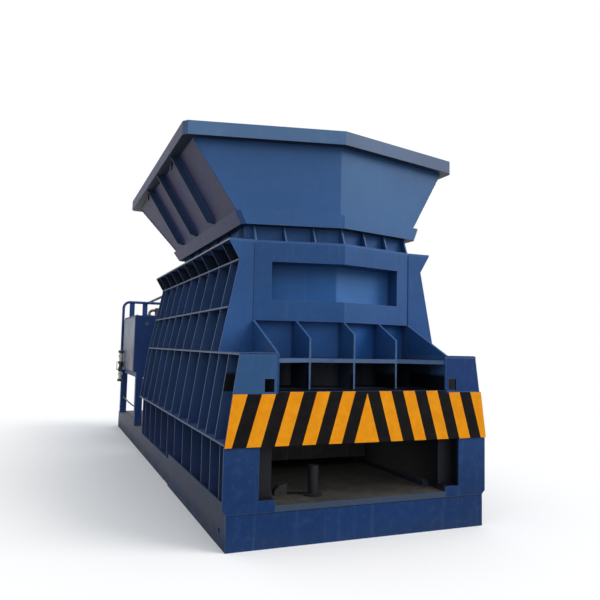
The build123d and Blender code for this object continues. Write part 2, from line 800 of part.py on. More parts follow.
def top_rail():
    """A second round rail, from the hoop forward along the tank."""
    y0 = STAND_FRONT + 60
    y1 = TANK_REAR + 66
    x = -800
    top = 2350
    path = FilletPolyline((x, y0, LID_TOP), (x, y0, top), (x, y1, top - 20), radius=90)
    return round_tube(path, 20)


def return_pipe():
    """The bent pipe on the tank's front corner and the filter housing that it leads to."""
    x, y = -1010, STAND_FRONT + 70
    path = FilletPolyline((x, y, LID_TOP), (x, y, 2110), (-920, y, 2110), radius=60)
    pipe = round_tube(path, 21) + rod_z(x, y, LID_TOP, LID_TOP + 20, 36)
    return pipe + block(-920, -850, y - 40, y + 40, LID_TOP, 2150)


def valve_block():
    """A manifold with two lever valves; each lever turns on a pin across its slot."""
    top = LID_TOP + 200
    body = block(-500, -60, 5560, 5760, LID_TOP, LID_TOP + 130)
    for x in VALVE_X:
        body += block(x - 45, x + 45, 5520, 5800, LID_TOP + 130, top)
        body += rod_y(x, LID_TOP + 165, 5430, 5520, 26)
        body -= block(x - 9, x + 9, VALVE_Y - 22, VALVE_Y + 22, LID_TOP + 160, top + 1)
        body += rod_x(VALVE_Y, VALVE_PIVOT, x - 9, x + 9, 4)
    return body


def valve_lever(x):
    lever = rod_x(VALVE_Y, VALVE_PIVOT, x - 8.5, x + 8.5, 10)
    lever += rod_z(x, VALVE_Y, VALVE_PIVOT, VALVE_PIVOT + 120, 6)
    lever += Pos(x, VALVE_Y, VALVE_PIVOT + 125) * Sphere(16)
    return lever - rod_x(VALVE_Y, VALVE_PIVOT, x - 10, x + 10, 4 + FIT)


def motor_housing():
    x, z = MOTOR_X, MOTOR_Z
    body = rod_y(x, z, 5600, 6080, 180) - rod_y(x, z, 5620, 6060, 130)
    body -= rod_y(x, z, 5590, 6090, SHAFT + FIT)
    cowl = rod_y(x, z, 5500, 5600, 184) - rod_y(x, z, 5508, 5600, 174)
    for i in range(8):
        angle = 45 * i
        cowl -= Pos(x, 5504, z) * Rot(0, angle, 0) * Pos(0, 0, 100) * Box(30, 20, 90)
    feet = block(x - 150, x + 150, 5640, 6040, REAR_FLOOR_TOP, REAR_FLOOR_TOP + 20)
    feet += block(x - 120, x - 90, 5640, 6040, REAR_FLOOR_TOP, z - 130)
    feet += block(x + 90, x + 120, 5640, 6040, REAR_FLOOR_TOP, z - 130)
    terminal = block(x - 70, x + 70, 5720, 5900, z + 160, z + 240)
    return body + cowl + feet + terminal


def motor_rotor():
    """Fan, rotor, both coupling halves and the pump's shaft, which all turn together."""
    x, z = MOTOR_X, MOTOR_Z
    rotor = rod_y(x, z, 5560, 6170, SHAFT)
    rotor += rod_y(x, z, 5680, 6000, 118)
    rotor += rod_y(x, z, 6120, 6195, 60)
    rotor += rod_y(x, z, 6195, 6280, 22)
    rotor += rod_y(x, z, 5545, 5585, 40)
    for i in range(6):
        rotor += Pos(x, 5565, z) * Rot(0, 60 * i, 0) * Pos(0, 0, 90) * Box(6, 36, 120)
    return rotor


def pump():
    x, z = MOTOR_X, MOTOR_Z
    bell = rod_y(x, z, 6080, 6240, 150) - rod_y(x, z, 6079, 6220, 120)
    body = rod_y(x, z, 6240, 6300, 110) + rod_y(x, z, 6300, 6500, 85)
    body += rod_z(x, PUMP_PORT_Y, z + 60, PUMP_PORT_TOP, 32)
    return bell + body - rod_y(x, z, 6200, 6285, 22 + FIT)


def pressure_pipe():
    """A steel pipe from the pump's port to a flange on the rear wall of the shear box."""
    x = MOTOR_X
    low, high = 900, 1350
    turn = BODY_LENGTH + 140
    path = FilletPolyline(
        (x, PUMP_PORT_Y, PUMP_PORT_TOP), (x, PUMP_PORT_Y, low), (x, turn, low), (x, turn, high),
        (x, BODY_LENGTH, high), radius=90)
    return round_tube(path, 20) + rod_y(x, high, BODY_LENGTH, BODY_LENGTH + 25, 48)


def cabinet_body():
    front, rear = CABINET_FRONT, CABINET_FRONT + 600
    outer = block(500, CABINET_FACE, front, rear, STAND_TOP, 2000)
    return outer - block(520, CABINET_FACE + 1, front + 20, rear - 20, STAND_TOP + 20, 1980)


def cabinet_door():
    inner, outer = CABINET_FACE + 2, CABINET_FACE + 22
    door = block(inner, outer, HINGE_Y + 20, CABINET_FRONT + 600, STAND_TOP, 2000)
    for z in HINGE_LEVELS:
        door += rod_z(HINGE_X, HINGE_Y, z, z + 80, 12)
        door += block(HINGE_X, outer, HINGE_Y, HINGE_Y + 22, z, z + 80)
        door -= rod_z(HINGE_X, HINGE_Y, z - 1, z + 81, 5 + FIT)
    door -= rod_x(HANDLE_Y, HANDLE_Z, inner - 1, outer + 1, 12 + FIT)
    return door - rod_x(BUTTON_Y, BUTTON_Z, inner - 1, outer + 1, 14 + FIT)


def cabinet_hinges():
    """Two fixed hinge halves, each a pin held by an arm above and below the door's knuckle."""
    hinges = []
    for z in HINGE_LEVELS:
        hinge = rod_z(HINGE_X, HINGE_Y, z - 30, z + 110, 5)
        for low in (z - 30, z + 80.5):
            hinge += block(CABINET_FACE - 10, HINGE_X + 8, HINGE_Y - 8, HINGE_Y + 8, low, low + 29.5)
        hinges.append(hinge)
    return hinges


def door_handle():
    face = CABINET_FACE + 42
    handle = rod_x(HANDLE_Y, HANDLE_Z, CABINET_FACE - 5, face, 12)
    handle += rod_x(HANDLE_Y, HANDLE_Z, CABINET_FACE - 5, CABINET_FACE + 1.5, 18)
    return handle + block(face, face + 12, HANDLE_Y - 12, HANDLE_Y + 12, HANDLE_Z - 120, HANDLE_Z + 25)


def stop_button():
    button = rod_x(BUTTON_Y, BUTTON_Z, CABINET_FACE + 6, CABINET_FACE + 32, 14)
    return button + rod_x(BUTTON_Y, BUTTON_Z, CABINET_FACE + 32, CABINET_FACE + 44, 26)


def drain_valve():
    """A stack of fittings beside the tank, with a small valve in it."""
    x, y = DRAIN_X, DRAIN_Y
    body = rod_x(y, DRAIN_BRANCH, x, TANK_LEFT, 24) + rod_z(x, y, 900, 1450, 28)
    for z, radius in ((900, 46), (1010, 38), (1210, 46), (1320, 38), (1400, 46)):
        body += rod_z(x, y, z, z + 40, radius)
    body += Pos(x, y, DRAIN_Z) * Box(72, 72, 70)
    return body - rod_x(y, DRAIN_Z, x - 37, x - 12, 8 + FIT)


def drain_handle():
    x, y, z = DRAIN_X, DRAIN_Y, DRAIN_Z
    handle = rod_x(y, z, x - 58, x - 14, 8)
    return handle + block(x - 66, x - 58, y - 14, y + 14, z - 14, z + 140)


def drain_hose():
    """A thin hose that sags between the two left legs of the stand."""
    x = HOSE_X
    rear = STAND_REAR - LEG - GLAND - 1
    front = STAND_FRONT + LEG + GLAND + 1
    path_points = [
        (x, rear, HOSE_ENDS[0]), (x + 4, 7020, 559), (x - 2, 6690, 547), (x + 3, 6340, 540),
        (x - 3, 6010, 541), (x + 2, 5750, 548), (x, front, HOSE_ENDS[1]),
    ]
    radii = []
    for before, here, after in zip(path_points, path_points[1:], path_points[2:]):
        into = Vector(*here) - Vector(*before)
        out = Vector(*after) - Vector(*here)
        half_turn = into.get_angle(out) / 2
        radii.append(0.45 * min(into.length, out.length) / tan_degrees(half_turn))
    path = FilletPolyline(*path_points, radius=radii)
    print("drain hose radii", [round(radius) for radius in radii])
    return round_tube(path, 12)


def build():
    made = {
        "base_skid": [base_skid()],
        "chamber_floor": [chamber_floor()],
        "lower_front_plates": pair(lower_front_plate()),
        "upper_front_strips": pair(upper_front_strip()),
        "front_beam": [front_beam()],
        "v_front_frame": [v_front_frame()],
        "v_recess_panel": [v_recess_panel()],
        "v_lower_wall": [v_lower_wall()],
        "front_gussets": shelf_gussets() + pair(end_gusset()),
        "front_shelf": [front_shelf()],
        "front_inner_wall": [front_inner_wall()],
        "top_deck": [top_deck()],
        "neck_skirt": [neck_skirt()],
        "neck_gussets": neck_gussets(),
        "hopper_front_panel": [hopper_front_panel()],
        "hopper_side_panels": pair(hopper_side_panel()),
        "hopper_rear_panel": [hopper_rear_panel()],
        "hopper_collar": [hopper_collar()],
        "hopper_rim": [hopper_rim()],
        "hopper_ribs": hopper_ribs(),
        "fixed_knife_beam": [fixed_knife_beam()],
        "fixed_knives": fixed_knives(),
        "fixed_knife_bolts": fixed_knife_bolts(),
        "rear_apron": [rear_apron()],
        "rear_wall": [rear_wall()],
        "main_cylinders": pair(cylinder_barrel(CYLINDER_X)) + cylinder_glands(),
        "cylinder_rods": pair(cylinder_rod(CYLINDER_X)),
        "knife_carriage": [knife_carriage()],
        "moving_knives": moving_knives(),
        "moving_knife_bolts": moving_knife_bolts(),
        "carriage_pads": carriage_pads(),
        "floor_fittings": [floor_post(), floor_bracket(), floor_link_bar()],
        "power_stand": power_stand(),
        "oil_tank": [oil_tank()],
        "tank_lid": [tank_lid()],
        "filler_cap": [filler_cap()],
        "tank_side_panel": [tank_side_panel()],
        "tank_railing": [hoop_rail(), top_rail()],
        "steel_pipes": [return_pipe(), pressure_pipe()],
        "valve_block": [valve_block()],
        "motor_housing": [motor_housing()],
        "motor_rotor": [motor_rotor()],
        "pump": [pump()],
        "cabinet_body": [cabinet_body()] + cabinet_hinges(),
        "cabinet_door": [cabinet_door()],
        "door_handle": [door_handle()],
        "stop_button": [stop_button()],
        "drain_valve": [drain_valve()],
        "drain_handle": [drain_handle()],
        "drain_hose": [drain_hose()],
    }
    for number, x in enumerate(VALVE_X, start=1):
        made[f"valve_lever_{number}"] = [valve_lever(x)]
    right = {
        "box_wall": [box_wall()],
        "stringers": stringers(),
        "side_ribs": side_ribs(),
        "front_leg": [front_leg()],
    }
    for name, shapes in right.items():
        made[f"right_{name}"] = shapes
        made[f"left_{name}"] = [mirrored(shape) for shape in shapes]
    return made


def write(made):
    os.makedirs("parts", exist_ok=True)
    for name, shapes in made.items():
        pieces = solids(shapes)
        whole = pieces[0] if len(pieces) == 1 else Compound(children=pieces)
        export_step(whole.moved(Location((0, -MIDDLE_Y, 0))), f"parts/{name}.step")
    print(len(made), "nodes")


write(build())
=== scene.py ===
import json
import math
import random

import bmesh
import bpy
from mathutils import Matrix, Vector

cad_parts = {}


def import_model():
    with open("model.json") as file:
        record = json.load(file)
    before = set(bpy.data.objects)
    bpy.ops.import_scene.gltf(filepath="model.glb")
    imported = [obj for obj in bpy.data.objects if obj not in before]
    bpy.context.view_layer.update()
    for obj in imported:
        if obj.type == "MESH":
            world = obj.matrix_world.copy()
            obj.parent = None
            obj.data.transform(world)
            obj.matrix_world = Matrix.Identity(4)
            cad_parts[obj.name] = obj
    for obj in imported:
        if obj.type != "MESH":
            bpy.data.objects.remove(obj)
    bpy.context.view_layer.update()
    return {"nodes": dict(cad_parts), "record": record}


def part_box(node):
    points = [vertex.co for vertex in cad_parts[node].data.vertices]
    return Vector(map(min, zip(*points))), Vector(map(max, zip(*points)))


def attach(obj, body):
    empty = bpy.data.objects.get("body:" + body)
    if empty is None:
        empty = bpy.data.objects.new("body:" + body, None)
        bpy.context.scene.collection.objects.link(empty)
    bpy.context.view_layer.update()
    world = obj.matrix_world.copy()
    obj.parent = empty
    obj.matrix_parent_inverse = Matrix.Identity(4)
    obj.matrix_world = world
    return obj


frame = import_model()

nodes = frame["nodes"]
rng = random.Random(7020)

# The part's own sizes that the looks are laid out on, in metres.
# The frame's Y is measured from the middle of the machine; OUTLET is its front face.
PLATE = 0.016
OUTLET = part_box("front_shelf")[0].y - PLATE
CHAMBER_HALF = 0.8
BEAM_LOW = 0.79
BEAM_HIGH = 1.2
LEDGE_TOP = 1.216
SHOULDER = 1.52
SHELF_UNDER = SHOULDER - 0.036
WAIST = 2.355
DECK = 2.525
PROW_SLOPE = 0.25
STRIPE_PITCH = 0.1175
BODY_LENGTH = 4.6
V_APEX = 0.45
UPPER_FRONT = 0.65
COLLAR_LOW = 2.69
COLLAR_HIGH = 2.815
RIM_LOW = 3.49
SKID_LIP = 0.27
SKID_TOP = 0.28
LID = 0.012

# The square holes in the lower front plates, and how far the painted shade in them reaches past their edges
HOLE_ACROSS = (0.832, 0.914)
HOLE_HEIGHT = (1.214, 1.319)
HOLE_MARGIN = 0.0015

# How far past a face a mask or a weld starts or ends
HAIR = 0.001
SEAM = 0.002

# A normal below this looks forward, out of the machine's front
FORWARD = -0.5

# Places of an axis in a vector
X, Y, Z = 0, 1, 2

# Light: a lamp's spread is in degrees
SKY_LOW = 0.42
SKY_HIGH = 1.1
SKY_TINT = (0.93, 0.96, 1.0, 1)
KEY_POWER = 2.0
KEY_FROM = (0.7, -0.52, 0.5)
KEY_SPREAD = 38
KEY_TINT = (1.0, 0.98, 0.95)
FILL_POWER = 0.75
FILL_FROM = (-0.1, -0.93, 0.22)
FILL_SPREAD = 70
FILL_TINT = (0.96, 0.98, 1.0)

# Floor: it keeps its shadow near the machine and fades to white between these distances from it
GROUND_HALF = 60
GROUND_TONE = (0.2, 0.185, 0.165)
GROUND_SEEN = (0.9, 0.9, 0.9)
SHADOW_ACROSS = 1.3
SHADOW_ALONG = 4.0
FADE_START = 0.2
FADE_END = 3.2

# Camera: yaw, pitch and roll in degrees, its place as place() takes it, and its focal length in pixels
CAMERA_ANGLES = (-22.296, 4.313, 1.236)
CAMERA_PLACE = (-2.532, -4.642, 1.581)
FOCAL_PIXELS = 615.58
FRAME_PIXELS = 600
SENSOR = 36
VIEW_END = 200


# Node trees

class Tree:
    """A material's node tree, with short calls for the nodes that are used here."""

    def __init__(self, name):
        self.material = bpy.data.materials.new(name)
        self.material.use_nodes = True
        self.nodes = self.material.node_tree.nodes
        self.links = self.material.node_tree.links
        self.nodes.clear()
        self.output = self.add("ShaderNodeOutputMaterial")
        self.shader = self.add("ShaderNodeBsdfPrincipled")
        self.links.new(self.shader.outputs[0], self.output.inputs[0])

    def add(self, kind, **settings):
        node = self.nodes.new(kind)
        for key, value in settings.items():
            setattr(node, key, value)
        return node

    def set(self, socket, value):
        if isinstance(value, bpy.types.NodeSocket):
            self.links.new(value, socket)
        else:
            socket.default_value = value

    def position(self, scale=(1, 1, 1)):
        texture = self.add("ShaderNodeTexCoord")
        mapping = self.add("ShaderNodeMapping")
        mapping.inputs["Scale"].default_value = scale
        self.links.new(texture.outputs["Object"], mapping.inputs["Vector"])
        return mapping.outputs["Vector"]

    def axis(self, index):
        split = self.add("ShaderNodeSeparateXYZ")
        self.links.new(self.position(), split.inputs[0])
        return split.outputs[index]

    def normal_axis(self, index):
        geometry = self.add("ShaderNodeNewGeometry")
        split = self.add("ShaderNodeSeparateXYZ")
        self.links.new(geometry.outputs["Normal"], split.inputs[0])
        return split.outputs[index]

    def noise(self, scale, detail=4.0, roughness=0.55, stretch=(1, 1, 1)):
        node = self.add("ShaderNodeTexNoise")
        node.inputs["Scale"].default_value = scale
        node.inputs["Detail"].default_value = detail
        node.inputs["Roughness"].default_value = roughness
        self.links.new(self.position(stretch), node.inputs["Vector"])
        return node.outputs[0]

    def math(self, operation, a, b=0.0, clamp=False):
        node = self.add("ShaderNodeMath", operation=operation, use_clamp=clamp)
        self.set(node.inputs[0], a)
        self.set(node.inputs[1], b)
        return node.outputs[0]

    def times(self, a, b):
        return self.math("MULTIPLY", a, b)

    def plus(self, a, b):
        return self.math("ADD", a, b)

    def minus(self, a, b):
        return self.math("SUBTRACT", a, b)

    def either(self, a, b):
        return self.math("MAXIMUM", a, b)

    def above(self, value, limit):
        return self.math("GREATER_THAN", value, limit)

    def below(self, value, limit):
        return self.math("LESS_THAN", value, limit)

    def size(self, value):
        return self.math("ABSOLUTE", value)

    def within(self, *masks):
        """1 where every mask is 1."""
        share = masks[0]
        for mask in masks[1:]:
            share = self.times(share, mask)
        return share

    def ramp(self, value, low, high, to_low=0.0, to_high=1.0):
        node = self.add("ShaderNodeMapRange", clamp=True, interpolation_type="SMOOTHSTEP")
        self.set(node.inputs["Value"], value)
        for key, number in (("From Min", low), ("From Max", high), ("To Min", to_low), ("To Max", to_high)):
            node.inputs[key].default_value = number
        return node.outputs["Result"]

    def mix(self, share, a, b):
        node = self.add("ShaderNodeMix", data_type="RGBA")
        self.set(node.inputs[0], share)
        for socket, value in ((node.inputs[6], a), (node.inputs[7], b)):
            self.set(socket, value if isinstance(value, bpy.types.NodeSocket) else (*value, 1))
        return node.outputs[2]

    def edge(self, radius):
        """1 on sharp edges within the radius and 0 on flat faces."""
        bevel = self.add("ShaderNodeBevel", samples=4)
        bevel.inputs["Radius"].default_value = radius
        geometry = self.add("ShaderNodeNewGeometry")
        dot = self.add("ShaderNodeVectorMath", operation="DOT_PRODUCT")
        self.links.new(bevel.outputs[0], dot.inputs[0])
        self.links.new(geometry.outputs["Normal"], dot.inputs[1])
        return self.ramp(dot.outputs["Value"], 0.995, 0.86)

    def bump(self, height, strength, distance):
        node = self.add("ShaderNodeBump")
        node.inputs["Strength"].default_value = strength
        node.inputs["Distance"].default_value = distance
        self.links.new(height, node.inputs["Height"])
        self.links.new(node.outputs[0], self.shader.inputs["Normal"])

    def surface(self, colour, rough, specular=None, metallic=None):
        """Sets the colour and the roughness, and the gloss and the metal only where they are given."""
        self.set(self.shader.inputs["Base Color"], colour)
        self.set(self.shader.inputs["Roughness"], rough)
        if specular is not None:
            self.shader.inputs["Specular IOR Level"].default_value = specular
        if metallic is not None:
            self.shader.inputs["Metallic"].default_value = metallic


# Colours

# The low blues are painted shade near the ground, the high blue is painted light near the top
BLUE_LOW_SHADE = (0.0035, 0.03, 0.118)
BLUE = (0.02, 0.078, 0.232)
BLUE_HIGH_LIT = (0.031, 0.106, 0.29)
BLUE_RIM = (0.083, 0.176, 0.345)
BLUE_LIGHT = (0.16, 0.23, 0.36)
NAVY_LOW_SHADE = (0.024, 0.053, 0.165)
NAVY = (0.036, 0.083, 0.212)
EDGE_DUST_HIGHLIGHT = (0.14, 0.185, 0.265)
GUSSET_EDGE_HIGHLIGHT = (0.062, 0.115, 0.225)
SKID_DUST = (0.039, 0.043, 0.058)
PLATE_DUST = (0.22, 0.22, 0.22)
UNDER_SHADE = (0.012, 0.014, 0.026)
SCRAPED = (0.075, 0.078, 0.085)
RIB_BLUE_SHADE = (0.028, 0.06, 0.138)
DECK_EDGE = (0.3, 0.29, 0.34)
FLARE_SHADE = (0.008, 0.011, 0.018)
SIDE_BROWN_SHADE = (0.042, 0.033, 0.088)
SIDE_BLUE_SHADE = (0.026, 0.034, 0.12)
INNER_GRIME_SHADE = (0.034, 0.033, 0.032)
INNER_PALE = (0.06, 0.057, 0.054)
INNER_SCRAPE = (0.1, 0.098, 0.094)
INNER_EDGE = (0.2, 0.2, 0.2)
ORANGE = (0.75, 0.265, 0.005)
ORANGE_PALE = (0.82, 0.32, 0.009)
ORANGE_SCUFFED = (0.55, 0.24, 0.05)
BLACK = (0.003, 0.0025, 0.0025)
BLACK_PALE = (0.008, 0.006, 0.006)
BLACK_SCUFFED = (0.05, 0.04, 0.035)
PANEL_LOW = (0.075, 0.08, 0.13)
PANEL_HIGH = (0.27, 0.32, 0.4)
PANEL_STAIN = (0.04, 0.055, 0.1)
PANEL_EDGE = (0.45, 0.47, 0.5)
FLOOR_DUST = (0.03, 0.028, 0.025)
FLOOR_HEAP = (0.066, 0.06, 0.052)
FLOOR_GRIT = (0.1, 0.092, 0.08)
FLOOR_WORN = (0.075, 0.072, 0.07)
FLOOR_SIDE = (0.012, 0.024, 0.048)
FLOOR_SILL = (0.042, 0.064, 0.11)
FLOOR_DEEP_SHADE = (0.02, 0.018, 0.016)
CHROME_DULL = (0.62, 0.62, 0.63)
CHROME_BRIGHT = (0.8, 0.8, 0.81)
PLATED = (0.62, 0.62, 0.6)
PLATED_DULL = (0.4, 0.39, 0.37)
COATED = (0.012, 0.012, 0.013)
COATED_WORN = (0.03, 0.03, 0.03)
CLOUD_DARK = (0.002, 0.004, 0.008)
SIDE_EDGE_HIGHLIGHT = (0.17, 0.18, 0.22)
DUST = (0.2, 0.185, 0.16)
RUST = (0.13, 0.055, 0.025)
# Painted shade inside the outlet, in the cells under the shelf and behind the square holes; inside the
# outlet it is mixed with grime
INSIDE_GRIME_SHADE = (0.07, 0.068, 0.066)
MOUTH_SHADE = (0.0055, 0.0055, 0.0065)
CELL_SHADE = (0.03, 0.035, 0.052)
HOLE_SHADE = (0.003, 0.003, 0.004)

# How much of the paint the painted shade and grime inside the outlet, and the painted shade in the cells,
# cover
SHADE_COVER = 0.97
SHADED = 0.92

# Where the painted shade and grime inside the outlet and the painted shade in the cells lie, measured from
# the front, the rear and the middle
MOUTH_START = 0.022
MOUTH_END = 0.1
MOUTH_HALF = 0.966
CELLS_START = 0.245
CELLS_END = 0.95
HOLES_START = 0.02
HOLES_END = 0.6
HOLES_FADE = (0.17, 0.13)
HOLE_DEPTH = 0.24
WALL_HALF = 0.93
WALL_FADE = (0.34, 0.24)
INWARD = -0.1

# Heights of the plated parts of the drain valve
PLATED_BANDS = ((1.25, 1.4), (0.94, 1.075))
PLATED_CAP = 1.44

# The beam is striped where it stands out farther than this from the front face
BEAM_FACE = 0.012


# Materials


def mouth_mask(tree, reach):
    """1 on what lies inside the outlet or the shear box, behind the front plates."""
    depth = tree.axis(Y)
    level = tree.axis(Z)
    width = tree.size(tree.axis(X))
    behind = tree.within(
        tree.above(depth, OUTLET + MOUTH_START),
        tree.below(depth, OUTLET + BODY_LENGTH - MOUTH_END),
        tree.above(level, SKID_TOP + HAIR))
    mouth = tree.within(tree.below(width, reach), tree.below(level, BEAM_LOW + SEAM))
    shaft = tree.within(tree.below(width, CHAMBER_HALF + SEAM), tree.below(level, BEAM_HIGH))
    return tree.times(behind, tree.either(mouth, shaft))


def cell_shade_masks(tree):
    """Two painted-shade masks: the deep part of the cells under the shelf, and what lies behind the square
    holes.

    The second one also takes in the front face of the first rib beside each hole.
    """
    depth = tree.axis(Y)
    width = tree.size(tree.axis(X))
    height = tree.axis(Z)
    level = tree.within(
        tree.above(height, BEAM_HIGH),
        tree.below(height, SHELF_UNDER),
        tree.below(depth, OUTLET + CELLS_END))
    deep = tree.within(tree.above(depth, OUTLET + CELLS_START), tree.below(width, CHAMBER_HALF + SEAM))
    inward = tree.below(tree.times(tree.axis(X), tree.normal_axis(X)), INWARD)
    facing = tree.below(tree.normal_axis(Y), FORWARD)
    near = tree.ramp(depth, OUTLET + WALL_FADE[0], OUTLET + WALL_FADE[1])
    wall = tree.within(tree.below(width, WALL_HALF), near)
    behind = tree.within(
        tree.either(wall, tree.either(inward, facing)),
        tree.above(depth, OUTLET + HOLES_START),
        tree.below(depth, OUTLET + HOLES_END),
        tree.ramp(height, BEAM_HIGH + HOLES_FADE[0], BEAM_HIGH + HOLES_FADE[1]))
    in_hole = tree.within(
        tree.above(width, HOLE_ACROSS[0] - HOLE_MARGIN),
        tree.below(width, HOLE_ACROSS[1] + HOLE_MARGIN),
        tree.above(height, HOLE_HEIGHT[0] - HOLE_MARGIN),
        tree.below(height, HOLE_HEIGHT[1] + HOLE_MARGIN),
        tree.above(depth, OUTLET + SEAM),
        tree.below(depth, OUTLET + HOLE_DEPTH))
    return tree.times(level, deep), tree.times(level, tree.either(behind, in_hole))


def inside_shade(tree, colour, reach=MOUTH_HALF):
    """The colour with painted shade and grime inside the outlet, darkest near its mouth, and painted shade
    in the cells and behind the holes.
    """
    grime_and_shade = tree.mix(tree.ramp(tree.axis(Y), OUTLET + 0.05, OUTLET + 0.7), MOUTH_SHADE, INSIDE_GRIME_SHADE)
    colour = tree.mix(tree.times(mouth_mask(tree, reach), SHADE_COVER), colour, grime_and_shade)
    cells, holes = cell_shade_masks(tree)
    colour = tree.mix(tree.times(cells, SHADED), colour, CELL_SHADE)
    return tree.mix(tree.times(holes, SHADE_COVER), colour, HOLE_SHADE)


def shade_by_height(tree, low, middle, high):
    """Paint darker near the ground as painted shade, and lighter towards the top of the machine as painted
    light.
    """
    level = tree.axis(Z)
    colour = tree.mix(tree.ramp(level, 0.3, 1.7), low, middle)
    return tree.mix(tree.ramp(level, 2.4, 2.9), colour, high)


def weathered(tree, base, light, dust_height, dust_amount, wear):
    """Paint with cloudy tone, rain streaks, lighter edges of worn paint and painted highlight, dust near
    the ground and small chips.
    """
    cloud = tree.noise(0.9, 5, 0.6)
    fine = tree.noise(14, 4, 0.65)
    streak = tree.noise(5.5, 3, 0.6, (3.2, 3.2, 0.22))
    colour = tree.mix(tree.ramp(cloud, 0.36, 0.66, 0.2, 0.0), base, CLOUD_DARK)
    colour = tree.mix(tree.times(tree.ramp(fine, 0.45, 0.75), 0.06), colour, light)
    colour = tree.mix(tree.times(tree.ramp(streak, 0.56, 0.74), 0.07), colour, light)
    # Lighter edges: worn paint and a painted highlight, as strong as wear sets it
    edge = tree.times(tree.edge(0.006), tree.ramp(fine, 0.3, 0.55, 0.35, 1.0))
    colour = tree.mix(tree.times(edge, wear), colour, light)
    rising = tree.ramp(tree.axis(Z), dust_height, 0.0)
    settled = tree.ramp(tree.normal_axis(Z), 0.6, 0.95, 0.0, 0.85)
    dusty = tree.either(rising, settled)
    dusty = tree.times(dusty, tree.ramp(tree.noise(6, 6, 0.7), 0.3, 0.7, 0.25, 1.0))
    colour = tree.mix(tree.times(dusty, dust_amount), colour, DUST)
    chips = tree.ramp(tree.noise(42, 5, 0.62), 0.715, 0.735)
    near = tree.ramp(tree.noise(1.7, 2), 0.5, 0.62)
    chips = tree.times(chips, near)
    colour = tree.mix(chips, colour, RUST)
    return colour, dusty, chips, fine


def finish_paint(tree, colour, dusty, chips, fine, gloss, specular):
    """Gives the look its colour, duller where it is dusty, and a slightly uneven surface."""
    rough = tree.plus(tree.times(fine, 0.18), gloss - 0.09)
    rough = tree.math("ADD", rough, tree.times(dusty, 0.3), clamp=True)
    tree.surface(colour, rough, specular)
    ripple = tree.times(tree.noise(2.1, 2), 0.8)
    height = tree.plus(ripple, tree.times(tree.noise(160, 3), 0.06))
    height = tree.minus(height, tree.times(chips, 0.12))
    tree.bump(height, 0.35, 0.004)
    return tree.material


def two_tone_paint(name, left, right, light):
    """Blue that differs between the left and the right half, with painted shade and grime inside the
    outlet.
    """
    tree = Tree(name)
    base = tree.mix(tree.ramp(tree.axis(X), -0.03, 0.03), left, right)
    colour, dusty, chips, fine = weathered(tree, base, light, 0.2, 0.05, 0.4)
    return finish_paint(tree, inside_shade(tree, colour), dusty, chips, fine, 0.5, 0.15)


def blue_paint(name, light):
    """The machine's blue: painted shade near the ground, painted light at the top, painted shade and grime
    inside the outlet, dusty on the skid's long sides.
    """
    tree = Tree(name)
    base = shade_by_height(tree, BLUE_LOW_SHADE, BLUE, BLUE_HIGH_LIT)
    colour, dusty, chips, fine = weathered(tree, base, light, 0.2, 0.05, 0.4)
    colour = inside_shade(tree, colour)
    side = tree.ramp(tree.size(tree.normal_axis(X)), 0.9, 0.98)
    low = tree.below(tree.axis(Z), 0.36)
    patches = tree.ramp(tree.noise(2.4, 6, 0.7), 0.25, 0.7, 0.35, 0.85)
    colour = tree.mix(tree.within(side, low, patches), colour, SKID_DUST)
    plate = tree.within(
        tree.ramp(tree.normal_axis(Z), 0.9, 0.98),
        low,
        tree.above(tree.axis(Y), OUTLET + BODY_LENGTH))
    colour = tree.mix(tree.times(plate, patches), colour, PLATE_DUST)
    # A painted shadow: a dark line along the skid's front face under the legs' overhang
    lip = tree.within(
        tree.below(tree.normal_axis(Y), FORWARD),
        tree.above(tree.axis(Z), SKID_LIP),
        tree.below(tree.axis(Z), SKID_TOP + HAIR / 2))
    colour = tree.mix(tree.times(lip, 0.6), colour, HOLE_SHADE)
    return finish_paint(tree, colour, dusty, chips, fine, 0.5, 0.15)


def hopper_paint(name, left, right, light, brown, bluish, shade_below=0.0):
    """The hopper's blue, with painted light and shade on its faces, and dust with painted shade in dull
    grey-brown on everything that faces sideways.
    """
    tree = Tree(name)
    # A different blue on the left and right front faces, for the different light on each: painted light and
    # shade
    half = tree.within(tree.ramp(tree.axis(X), -0.02, 0.02), tree.ramp(tree.normal_axis(Y), -0.1, -0.2))
    front = tree.mix(half, left, right)
    colour, dusty, chips, fine = weathered(tree, front, light, 0.1, 0.15, 0.45)
    # Faces that look sideways get dull grey-brown below: dust with painted shade and a painted reflection
    # of the brown ground
    side = tree.ramp(tree.size(tree.normal_axis(X)), 0.5, 0.6)
    side = tree.times(side, tree.ramp(tree.normal_axis(Y), -0.45, -0.25, 0.3, 1.0))
    outward = tree.times(tree.axis(X), tree.normal_axis(X))
    side = tree.times(side, tree.ramp(outward, 0.0, 0.1))
    patchy = tree.ramp(tree.noise(3, 6, 0.7), 0.35, 0.65, 0.15, 0.7)
    worn = tree.times(tree.ramp(outward, -0.05, -0.3), patchy)
    colour = tree.mix(worn, colour, SCRAPED)
    blotch = tree.noise(2.6, 5, 0.65)
    dull = tree.mix(tree.ramp(blotch, 0.35, 0.65), brown, bluish)
    # Painted highlight on the edges of the sideways faces
    dull = tree.mix(tree.times(tree.edge(0.006), 0.35), dull, SIDE_EDGE_HIGHLIGHT)
    colour = tree.mix(tree.times(side, 0.92), colour, dull)
    # Painted shade on faces that look down, and on everything below the shade height
    under = tree.ramp(tree.normal_axis(Z), -0.6, -0.85, 0.0, 0.9)
    colour = tree.mix(under, colour, UNDER_SHADE)
    colour = tree.mix(tree.below(tree.axis(Z), shade_below), colour, UNDER_SHADE)
    return finish_paint(tree, colour, dusty, chips, fine, 0.5, 0.2)


